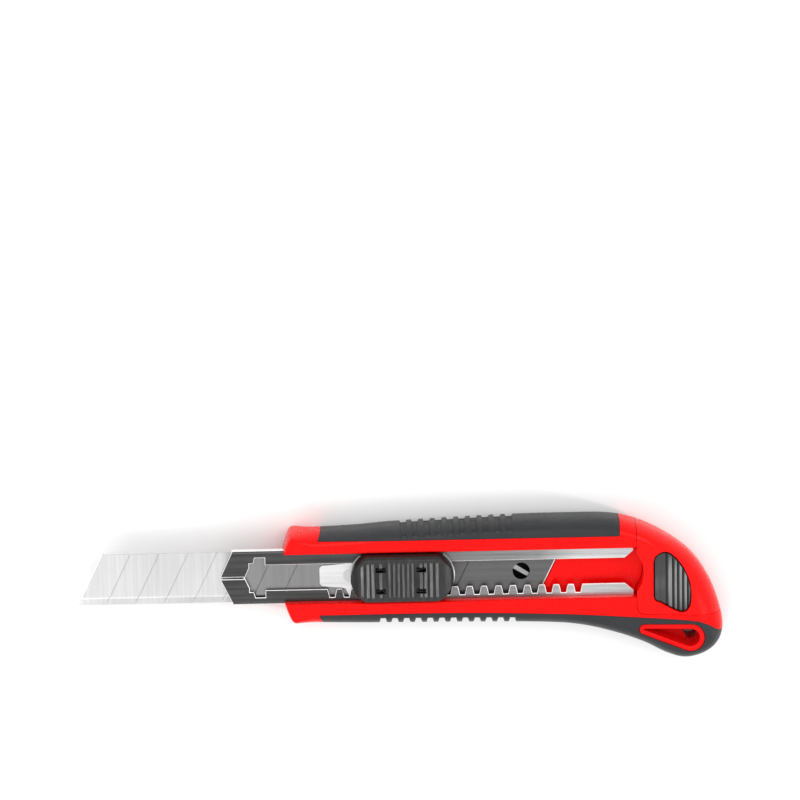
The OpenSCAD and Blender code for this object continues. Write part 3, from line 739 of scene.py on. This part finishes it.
for k in range(TEETH):
    gap_line = tooth_line + [FIRST_TOOTH + TOOTH_PITCH * k, -SLOT]
    cut(sleeve, block("tooth", gap_line, FLANGE_Z - 0.1, flange_top + 1))
cut(sleeve, box("rear", 50, sleeve_end + 1, SHEET - half_w, half_w - SHEET, sleeve_z - 1, sleeve_z + 1))
cut(sleeve, box("arm_window", 30, 48, -3.6, 3.6, sleeve_z - 1, sleeve_z + 1))
finish_piece(sleeve, "handle", "blade_sleeve", bevel=0.2, bevel_slot=1)

# %% [markdown]
# ## The blades
# A snap-off blade is a leaning strip of steel. Its score lines run parallel to its ends, so on a grid
# that leans with it they are straight columns, each a narrow V in the height of the top face. Its ends
# have a small chamfer that catches the light.

# %% Blades
SEGMENT, SCORES, SCORE_DEPTH, SCORE_HALF = 10.0, 7, 0.12, 0.14
BEVEL_H, BEVEL_DROP = 2.2, 0.4
END_CHAMFER, END_DROP = 0.4, 0.25
BLADE_HOLE_R = 3


def snap_blade(name, node):
    """x = tail - length + s + y / tan(angle); the top falls by the ground edge and by the score lines."""
    low, high = node_mm(node)
    half_b = (high[1] - low[1]) / 2
    run = half_b / np.tan(SCORE_ANGLE)
    start, length = low[0] + run, high[0] - low[0] - 2 * run
    near = np.array([-0.5, -0.2, -SCORE_HALF, -0.05, 0.05, SCORE_HALF, 0.2, 0.5])
    s = np.sort(np.concatenate([np.linspace(0, length, 26), [END_CHAMFER, length - END_CHAMFER]]
        + [SEGMENT * k + near for k in range(1, SCORES + 1)]))
    s = s[np.concatenate([[True], np.diff(s) > 0.02])]
    y = np.concatenate([[-half_b, -half_b + 0.15, -half_b + BEVEL_H], np.linspace(-half_b + 3, half_b, 12)])
    off = np.abs(s - np.clip(np.round(s / SEGMENT), 1, SCORES) * SEGMENT)
    score = SCORE_DEPTH * np.clip(1.4 - off / SCORE_HALF, 0, 1) * (off < 0.19)
    drop = BEVEL_DROP * np.clip(1 - (y + half_b) / BEVEL_H, 0, 1)
    chamfer = END_DROP * np.clip(1 - np.minimum(s, length - s) / END_CHAMFER, 0, 1)
    top = high[2] - np.maximum(np.maximum(score, chamfer)[:, None], drop[None])
    x = start + s[:, None] + y[None] / np.tan(SCORE_ANGLE)
    upper, lower = to_frame(x, y[None], top), to_frame(x[:, ::-1], y[None, ::-1], low[2])
    piece = loft(name, np.concatenate([upper, lower], axis=1)[:, ::-1])
    return cut(piece, rod("hole", start + length - SEGMENT, 0, BLADE_HOLE_R, low[2] - 1, high[2] + 1))


BLADE_ROWS = [("blade_in_use", "blade", "slider"), ("spare_blade_upper", "spare_blade_1", "handle"),
    ("spare_blade_lower", "spare_blade_2", "handle")]
blades = {}
for name, node, body in BLADE_ROWS:
    blades[node] = snap_blade(name, node)
    finish_piece(blades[node], body, node)

# %% [markdown]
# ## The thumb piece
# A ribbed shell sits over the slider. Its plan is a long shape with round ends; each section stands
# straight at the foot, leans in, and rounds over to the ribbed face.

# %% Thumb piece
thumb_low, thumb_high = node_mm("thumb_piece")
THUMB_X, THUMB_HALF, END_R, SIDE = 0.8, 17.8, 9.5, 8.5
WIDE_RIB, FINE_RIB = 0.7, 0.38
WIDE_RIBS = np.array([-13.0, -11.0, -9.3, -6.6, 7.3, 8.9, 10.8, 12.8])
FINE_RIBS = -3.6 + 1.6 * np.arange(6)


def plan_half(x, inset=0.0):
    """Half the width: the side, or the round end's sqrt(r^2 - d^2) where that is less."""
    d = np.maximum(np.abs(x - THUMB_X) - (THUMB_HALF - END_R), 0)
    return np.minimum(SIDE - inset, np.sqrt(np.maximum((END_R - inset) ** 2 - d * d, 0)))


def thumb_top(x):
    """The face lies a wide rib's height under the top and slopes down over both ends."""
    d = np.abs(x - THUMB_X)
    return thumb_high[2] - WIDE_RIB - 1.5 * smoothstep(13.4, 17.6, d) ** 1.3


def rib_height(x):
    """The greater of the wide and the fine ribs, each a smoothstep down from its middle line."""
    wide = smoothstep(0.72, 0.42, np.abs(x[:, None] - WIDE_RIBS).min(axis=1))
    fine = smoothstep(0.58, 0.30, np.abs(x[:, None] - FINE_RIBS).min(axis=1))
    return np.maximum(WIDE_RIB * wide, FINE_RIB * fine)


def thumb_shell(name):
    """One section for each x: the side rises as a power of a sine and leans in by a smoothstep, and
    the ribs stand on the flat part of the face."""
    u = np.linspace(-1, 1, 421)
    x = THUMB_X + (THUMB_HALF - 0.01) * (0.86 * u + 0.14 * np.sin(np.pi / 2 * u))
    h = np.maximum(plan_half(x), 0.3)
    small = np.minimum(1, h / SIDE)
    foot, crest = thumb_low[2], thumb_top(x)
    lift = np.concatenate([[0, 0.3, 0.6], 0.6 + 0.4 * np.linspace(0.1, 1, 7)])
    lean_in = 1.3 * smoothstep(0.25, 0.95, lift) ** 1.4
    z_side = foot + (crest - foot)[:, None] * np.sin(lift * np.pi / 2) ** 0.9
    y_side = h[:, None] - (lean_in + 0.5 * np.clip((lift - 0.8) / 0.2, 0, 1) ** 2)[None] * small[:, None]
    t = np.linspace(1, -1, 46)[1:-1]
    y_top = y_side[:, -1:] * t[None]
    inside = smoothstep(7.0, 6.5, np.abs(y_top)) * smoothstep(0.2, 1.2, y_side[:, -1:] - np.abs(y_top))
    z_top = crest[:, None] + rib_height(x)[:, None] * inside
    y = np.hstack([y_side, y_top, -y_side[:, ::-1]])
    z = np.hstack([z_side, z_top, z_side[:, ::-1]])
    return loft(name, to_frame(x[:, None], y, z))


thumb = thumb_shell("ribbed_thumb_piece")
print("solid shell:", len(thumb.data.vertices), "vertices")

# %% [markdown]
# The shell is hollow for the lock's spring. Its foot leaves room for the slider's plate, and the
# plate's four tabs stand in slots in its face.

# %% Inside of the thumb piece
THUMB_WALL, THUMB_ROOF = 1.1, 2.2
FOOT_HALF, FOOT_ROOM = 7.45, 1.4
TAB_X, TAB_Y = (-6.6, 7.3), 3.8
inner_x = np.linspace(THUMB_X - THUMB_HALF + 1.15, THUMB_X + THUMB_HALF - 1.15, 60)
inner_half = np.minimum(plan_half(inner_x, THUMB_WALL), 7.0)
inner_plan = np.vstack([np.stack([inner_x, -inner_half], -1), np.stack([inner_x, inner_half], -1)[::-1]])
cut(thumb, block("inside", inner_plan, 10, thumb_high[2] - THUMB_ROOF))
cut(thumb, box("foot", -FAR, FAR, -FOOT_HALF, FOOT_HALF, 10, node_mm("slider_base")[0][2] + FOOT_ROOM))
for tx in TAB_X:
    for side in (-1, 1):
        cut(thumb, box("slot", tx - 1.75, tx + 1.75, side * TAB_Y - 0.9, side * TAB_Y + 0.9, 15, 25))
finish_piece(thumb, "thumb", "thumb_piece")

# %% [markdown]
# ## Small sheet parts
# The carrier, the base plate, the leaf springs and the rivets keep their CAD shape, with a fine bevel
# that gives the stamped edges a bright line. Two leaves bend between two bodies in the knife: the lock's
# leaf stands on the slider and its arch goes down with the thumb piece, and the latch's leaf is held by
# the cap and follows the button. Here both are given no bevel and no body.

# %% Sheet parts
def refined(name, node, body, slot_name, bevel):
    """A copy of a CAD node's mesh, welded, with its flat triangles joined up."""
    piece = bpy.data.objects.new(name, nodes[node].data.copy())
    scene.collection.objects.link(piece)
    merge_points(piece, WELD_REACH / 2, np.radians(0.5))
    finish_piece(piece, body, node, bevel)
    return piece


SMALL = [("carrier_plate", "carrier", "slider", "carrier_steel", 0.08),
    ("drive_stud", "blade_stud", "slider", "rivet_steel", 0.08),
    ("slider_plate", "slider_base", "slider", "carrier_steel", 0.08),
    ("slider_rivet_pair", "slider_rivets", "slider", "rivet_steel", 0.08),
    ("lock_leaf", "lock_spring", None, "spring_steel", 0.0),
    ("latch_leaf", "cap_latch", None, "spring_steel", 0.0),
    ("magazine_leaf", "magazine_spring", "handle", "spring_steel", 0.04),
    ("leaf_rivet", "magazine_rivet", "handle", "rivet_steel", 0.05),
    ("sleeve_screw_pair", "sleeve_screws", "handle", "screw_steel", 0.06)]
small_pieces = {row[0]: refined(*row) for row in SMALL}
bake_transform(small_pieces["lock_leaf"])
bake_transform(small_pieces["latch_leaf"])

# %% [markdown]
# ## Finishes
# A finish is a small graph of nodes on the shader. Noises at different scales carry the slow changes
# and the fine grain and drive the colour, the roughness and a bump. Gloss, coat and sheen are numbers
# on the shader itself.

# %% Material helpers
def new_finish(name, **fixed):
    """A material with its Principled shader's own sockets set, its tree and its shader."""
    material = bpy.data.materials.new(name)
    material.use_nodes = True
    tree = material.node_tree
    shader = tree.nodes["Principled BSDF"]
    for socket, value in fixed.items():
        shader.inputs[socket.replace("_", " ")].default_value = value
    return material, tree, shader


def noise(tree, scale, stretch=(1, 1, 1), detail=4.0, rough=0.55):
    """Noise on Object coordinates, stretched by a Mapping node."""
    place = tree.nodes.new("ShaderNodeTexCoord")
    mapping = tree.nodes.new("ShaderNodeMapping")
    mapping.inputs["Scale"].default_value = stretch
    texture = tree.nodes.new("ShaderNodeTexNoise")
    for socket, value in (("Scale", scale), ("Detail", detail), ("Roughness", rough)):
        texture.inputs[socket].default_value = value
    tree.links.new(place.outputs["Object"], mapping.inputs["Vector"])
    tree.links.new(mapping.outputs["Vector"], texture.inputs["Vector"])
    return texture.outputs["Fac"]


def ramp(tree, source, stops):
    """A colour ramp through (place, colour) stops."""
    node = tree.nodes.new("ShaderNodeValToRGB")
    marks = node.color_ramp.elements
    marks[0].position, marks[0].color = stops[0]
    marks[1].position, marks[1].color = stops[-1]
    for place, colour in stops[1:-1]:
        marks.new(place).color = colour
    tree.links.new(source, node.inputs["Fac"])
    return node.outputs["Color"]


def spread(tree, source, low, high, start=0.3, end=0.7):
    """The source between start and end becomes a number between low and high."""
    node = tree.nodes.new("ShaderNodeMapRange")
    for socket, value in zip(("From Min", "From Max", "To Min", "To Max"), (start, end, low, high)):
        node.inputs[socket].default_value = value
    tree.links.new(source, node.inputs["Value"])
    return node.outputs["Result"]


def bump(tree, shader, *layers):
    """Height layers of (source, strength, depth in metres), one on top of another."""
    normal = None
    for source, strength, depth in layers:
        node = tree.nodes.new("ShaderNodeBump")
        node.inputs["Strength"].default_value = strength
        node.inputs["Distance"].default_value = depth
        tree.links.new(source, node.inputs["Height"])
        if normal:
            tree.links.new(normal, node.inputs["Normal"])
        normal = node.outputs["Normal"]
    tree.links.new(normal, shader.inputs["Normal"])


def drive(tree, shader, colour, roughness):
    tree.links.new(colour, shader.inputs["Base Color"])
    tree.links.new(roughness, shader.inputs["Roughness"])


def grey(v, tint=(1, 1, 1)):
    return (v * tint[0], v * tint[1], v * tint[2], 1)


# %% [markdown]
# The red plastic is glossy ABS. It is nearly one colour, with a slow drift in depth, a faint waviness
# from the mould and a few dull rubs where it has been handled.

# %% Red plastic
def red_plastic(name, deep, bright, dull, coat=0.05):
    """The colour drifts from deep to bright, and the roughness stays near dull."""
    material, tree, shader = new_finish(name, Coat_Weight=coat, Coat_Roughness=0.06,
        Specular_IOR_Level=0.12)
    slow = noise(tree, 45, detail=3)
    rubs = noise(tree, 260, stretch=(1, 0.35, 1), detail=6, rough=0.7)
    fine = noise(tree, 2600, detail=2)
    wavy = noise(tree, 330, detail=2)
    drive(tree, shader, ramp(tree, slow, [(0.30, deep), (0.70, bright)]),
        spread(tree, rubs, dull - 0.07, dull + 0.12, 0.35, 0.75))
    bump(tree, shader, (wavy, 0.10, 0.00008), (fine, 0.06, 0.00002))
    return material


casing_red = red_plastic("casing_gloss_red", (0.78, 0.001, 0.001, 1), (0.86, 0.002, 0.001, 1), 0.30)
cap_red = red_plastic("cap_gloss_red", (0.77, 0.001, 0.001, 1), (0.86, 0.002, 0.001, 1), 0.25, 0.12)
plate_red = red_plastic("plate_satin_red", (0.64, 0.004, 0.006, 1), (0.72, 0.008, 0.010, 1), 0.40)
eye_red = red_plastic("eye_gloss_red", (0.68, 0.001, 0.001, 1), (0.78, 0.002, 0.001, 1), 0.32)

# %% [markdown]
# The grip is soft-touch rubber: dark grey, matt, with a fine sand-like texture from the mould and
# paler patches where the surface has been rubbed.

# %% Rubber
rubber, tree, shader = new_finish("soft_touch_rubber", Sheen_Weight=0.12, Sheen_Roughness=0.45,
    Specular_IOR_Level=0.35)
slow, sand = noise(tree, 60, detail=4), noise(tree, 4200, detail=3, rough=0.6)
scuff = noise(tree, 420, stretch=(0.4, 1, 1), detail=8, rough=0.7)
drive(tree, shader, ramp(tree, slow, [(0.28, (0.014, 0.015, 0.017, 1)), (0.60, (0.020, 0.021, 0.023, 1)),
    (0.80, (0.028, 0.029, 0.031, 1))]), spread(tree, scuff, 0.50, 0.70, 0.35, 0.7))
bump(tree, shader, (scuff, 0.08, 0.00006), (sand, 0.35, 0.00005))

# %% [markdown]
# Steel takes its look from what it reflects and from its grain. Noise that is drawn out along the
# knife makes the brushing, and each part has its own tone. A polished strip also mirrors a room that is
# darker at one end; there is no room here, so `toned` multiplies the colour by a factor along one axis.

# %% Steel
def steel(name, tones, rough, stretch, grain=0.05, scale=900):
    """Brushing between two tones, on a slowly changing roughness."""
    material, tree, shader = new_finish(name, Metallic=1.0)
    slow = noise(tree, 38, detail=5)
    brushed = noise(tree, scale, stretch=stretch, detail=5, rough=0.65)
    colour = ramp(tree, brushed, [(0.25, grey(tones[0], (1, 1, 1.01))), (0.75, grey(tones[1]))])
    drive(tree, shader, colour, spread(tree, slow, *rough))
    bump(tree, shader, (brushed, grain, 0.00003))
    return material, tree, shader, colour


def toned(tree, shader, colour, axis, low, high, stops):
    """The colour times a factor that a ramp gives along one axis, between low and high in mm."""
    place = tree.nodes.new("ShaderNodeTexCoord")
    split = tree.nodes.new("ShaderNodeSeparateXYZ")
    tree.links.new(place.outputs["Object"], split.inputs["Vector"])
    share = spread(tree, split.outputs[axis], 0, 1, low * MM, high * MM)
    tone = ramp(tree, share, [((v - low) / (high - low), grey(f)) for v, f in stops])
    mix = tree.nodes.new("ShaderNodeVectorMath")
    mix.operation = "MULTIPLY"
    tree.links.new(colour, mix.inputs[0])
    tree.links.new(tone, mix.inputs[1])
    tree.links.new(mix.outputs["Vector"], shader.inputs["Base Color"])
    return tree, shader, mix.outputs["Vector"]


ALONG, ACROSS, EVEN = (0.03, 1, 1), (1, 0.03, 1), (1, 1, 1)
sleeve_steel, *graph = steel("sleeve_polished_steel", (0.34, 0.92), (0.18, 0.34), ALONG, 0.05, 620)
toned(*graph, "X", -62, 81, [(-62, 0.12), (-16, 0.13), (8, 0.30), (48, 0.50), (60, 1.0), (81, 1.0)])
blade_steel, *graph = steel("blade_ground_steel", (0.53, 0.66), (0.30, 0.40), ACROSS, 0.04)
# Painted shade: the blade's colour drops to 0.42 times where it lies inside the sleeve.
graph = toned(*graph, "X", -112, -10, [(-112, 1.0), (-62, 1.0), (-54, 0.42), (-10, 0.42)])
toned(*graph, "Y", -3, 17, [(-3, 0.72), (-0.1, 0.72), (0.15, 1.0), (17, 1.0)])
# The sleeve's bends and cut faces and the blades' ends: partly bare steel and partly a painted highlight,
# near white and half metallic.
cut_edge_highlight_steel = steel("cut_edge_painted_highlight", (0.88, 0.96), (0.30, 0.42), EVEN, 0.03, 1500)[0]
cut_edge_highlight_steel.node_tree.nodes["Principled BSDF"].inputs["Metallic"].default_value = 0.5
# Painted shade: the spare blades are the same steel as the blade, made much darker for the shade they lie in
# under the sleeve.
spare_painted_shade_steel = steel("painted_shade_spare_blades", (0.115, 0.155), (0.34, 0.46), ALONG, 0.04)[0]
carrier_steel = steel("carrier_bright_steel", (0.60, 0.84), (0.30, 0.46), ALONG, 0.03)[0]
rivet_steel = steel("rivet_turned_steel", (0.58, 0.70), (0.22, 0.34), EVEN, 0.05, 1500)[0]
screw_steel = steel("screw_zinc_steel", (0.50, 0.62), (0.30, 0.42), EVEN, 0.08, 1200)[0]
spring_steel = steel("spring_rolled_steel", (0.30, 0.40), (0.24, 0.36), ALONG, 0.03)[0]

# %% [markdown]
# The thumb piece and the button are dark filled plastic with a moulded grain. Fine streaks across the
# ribs are paler, where fingers have polished them, and `toned` paints a highlight along each rib's
# crest and shade down its sides, as the colour grows with height.

# %% Dark plastic
def dark_plastic(name, tones, rough):
    material, tree, shader = new_finish(name, Specular_IOR_Level=0.28)
    streaks = noise(tree, 700, stretch=(1, 0.12, 1), detail=7, rough=0.7)
    grain = noise(tree, 3200, detail=3)
    colour = ramp(tree, streaks, [(0.30, grey(tones[0])), (0.62, grey(tones[1])), (0.85, grey(tones[2]))])
    drive(tree, shader, colour, spread(tree, streaks, rough + 0.08, rough - 0.08))
    bump(tree, shader, (grain, 0.22, 0.00004), (streaks, 0.10, 0.00004))
    return material, tree, shader, colour


thumb_plastic, *graph = dark_plastic("thumb_dark_plastic", (0.014, 0.045, 0.16), 0.40)
# Painted shade low down and a painted highlight on the crests: the colour goes from 0.12 times at the foot to
# 4.2 times at the top.
toned(*graph, "Z", 15, 22.4, [(15, 0.12), (20.2, 0.22), (21.3, 0.45), (21.65, 0.8), (22.0, 2.6),
    (22.4, 4.2)])
button_plastic, *graph = dark_plastic("button_dark_plastic", (0.030, 0.050, 0.10), 0.38)
# Painted shade in the grooves and a painted highlight on the crests: the colour goes from 0.2 times low down
# to 5 times at the top.
toned(*graph, "Z", 15, 18, [(15, 0.2), (17.2, 0.25), (17.5, 0.9), (17.68, 1.1), (17.85, 5.0), (18, 5.0)])
# Painted shade: near black for the pocket under the sleeve and the slider's tabs in the thumb's slots, which
# lie in deep shade.
painted_shade_black = dark_plastic("painted_shade_pocket_black", (0.004, 0.005, 0.006), 0.5)[0]
print("finishes:", len(bpy.data.materials))

# %% [markdown]
# Every piece gets the finish of its CAD node.

# %% Put the finishes on
FINISH = {node: material for material, names in (
    (casing_red, "casing"), (rubber, "rubber_grip"), (plate_red, "oval_plate"), (eye_red, "lanyard_eyelet"),
    (cap_red, "end_cap"), (thumb_plastic, "thumb_piece"), (button_plastic, "cap_button"),
    (sleeve_steel, "blade_sleeve"), (blade_steel, "blade"), (spare_painted_shade_steel, "spare_blade_1 spare_blade_2"),
    (carrier_steel, "carrier slider_base"), (screw_steel, "sleeve_screws"),
    (rivet_steel, "magazine_rivet blade_stud slider_rivets"),
    (spring_steel, "magazine_spring lock_spring cap_latch")) for node in names.split()}
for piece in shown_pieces():
    stands_for = list(piece.get("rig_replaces", [])) or [piece.get("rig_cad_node")]
    piece.data.materials.clear()
    piece.data.materials.append(FINISH[stands_for[0]])

# %% [markdown]
# The sheared edges and bends of the sleeve and the blades' ends are brighter than the rest of them, partly
# bare steel and partly a painted highlight, and the slider's tabs and the pocket under the sleeve are painted
# almost black, as painted shade.

# %% Second finishes
def second_finish(piece, material, choose):
    """The faces that choose(centres in mm, normals) picks get the second material."""
    faces = piece.data.polygons
    centres, normals = np.empty(3 * len(faces)), np.empty(3 * len(faces))
    faces.foreach_get("center", centres)
    faces.foreach_get("normal", normals)
    piece.data.materials.append(material)
    picked = choose((centres.reshape(-1, 3) - [0, AXIS_Y, 0]) / MM, normals.reshape(-1, 3))
    faces.foreach_set("material_index", picked.astype(np.int32))


def end_faces(c, n):
    """The slanted end faces: near the least or the greatest x - y / tan(angle), and facing along x."""
    along = c[:, 0] - c[:, 1] / np.tan(SCORE_ANGLE)
    near_end = np.minimum(along - along.min(), along.max() - along) < 0.5
    return near_end & (np.abs(n[:, 0]) > 0.45)


def pocket_faces(c, n):
    """The floor and the walls of the pocket under the sleeve."""
    along = (c[:, 0] > POCKET_SPAN[0] - 0.05) & (c[:, 0] < POCKET_SPAN[1] + 0.05)
    upright = (c[:, 2] > RUBBER_T + 1) & (c[:, 2] < sleeve_z - 0.5)
    return along & upright & (np.abs(c[:, 1]) < POCKET_HALF + 0.05)


TABS_Z = 16
second_finish(sleeve, cut_edge_highlight_steel, lambda c, n: np.abs(n[:, 2]) < 0.6)
for node in blades:
    second_finish(blades[node], cut_edge_highlight_steel, end_faces)
# Painted shade: the tabs above TABS_Z and the pocket's faces get the near-black finish.
second_finish(small_pieces["slider_plate"], painted_shade_black, lambda c, n: c[:, 2] > TABS_Z)
second_finish(casing, painted_shade_black, pocket_faces)
print("second finishes on", len(blades) + 3, "pieces")

# %% [markdown]
# ## Floor, light and camera
# The knife lies on a plain white table. A broad key light stands high on the belly's side, a fill light
# of about the same strength over the spine, and a narrow strip beyond the butt draws the highlight on
# the cap. A bright white world does the rest.

# %% Floor
corners = np.array([[-3, -3, 0], [3, -3, 0], [3, 3, 0], [-3, 3, 0]], float)
floor = new_piece("table", corners, [[0, 1, 2, 3]])
white, tree, shader = new_finish("table_white", Roughness=0.75, Specular_IOR_Level=0.2)
tree.links.new(ramp(tree, noise(tree, 3, detail=2), [(0.3, grey(0.90)), (0.7, grey(0.92))]),
    shader.inputs["Base Color"])
floor.data.materials.append(white)


def soft_light(name, place, size, power, aim=(0.0, 0.0, 0.01)):
    light = bpy.data.lights.new(name, "AREA")
    light.shape, light.size, light.size_y, light.energy = "RECTANGLE", *size, power
    holder = bpy.data.objects.new(name, light)
    holder.location = place
    holder.rotation_mode = "QUATERNION"
    holder.rotation_quaternion = (Vector(aim) - Vector(place)).to_track_quat("-Z", "Y")
    scene.collection.objects.link(holder)


soft_light("key_light", (-0.45, -0.42, 0.85), (0.9, 0.35), 2.4)
soft_light("fill_light", (0.1, 0.45, 0.9), (0.9, 0.5), 2.6)
soft_light("rim_light", (0.85, -0.22, 0.50), (0.05, 0.40), 2.4, aim=(0.1, 0, 0.01))
world = bpy.data.worlds.new("studio")
world.use_nodes = True
sky = world.node_tree.nodes["Background"].inputs
sky["Color"].default_value = (1, 1, 1, 1)
sky["Strength"].default_value = 0.95
scene.world = world
scene.view_settings.view_transform = "Standard"

# %% [markdown]
# The camera looks almost straight down from the spine's side with a long lens, so that the knife has
# nearly no perspective. Its axes are written out: right, up, and backwards.

# %% Camera
PITCH_ANGLE, ROLL, DISTANCE = np.radians(14.0), np.radians(1.2), 1.521
camera = bpy.data.objects.new("camera", bpy.data.cameras.new("camera"))
camera.data.lens, camera.data.sensor_width = 200, 36
right0, up0 = np.array([1.0, 0, 0]), np.array([0, np.cos(PITCH_ANGLE), -np.sin(PITCH_ANGLE)])
back_way = np.array([0, np.sin(PITCH_ANGLE), np.cos(PITCH_ANGLE)])
right = np.cos(ROLL) * right0 - np.sin(ROLL) * up0
up = np.sin(ROLL) * right0 + np.cos(ROLL) * up0
AIM = np.array([0.0013, 0.0691, 0.0145])
camera.matrix_world = Matrix([[right[k], up[k], back_way[k], AIM[k] + DISTANCE * back_way[k]]
    for k in range(3)] + [[0, 0, 0, 1]])
scene.collection.objects.link(camera)
scene.camera = camera

# %% [markdown]

# %% Sizes
import json
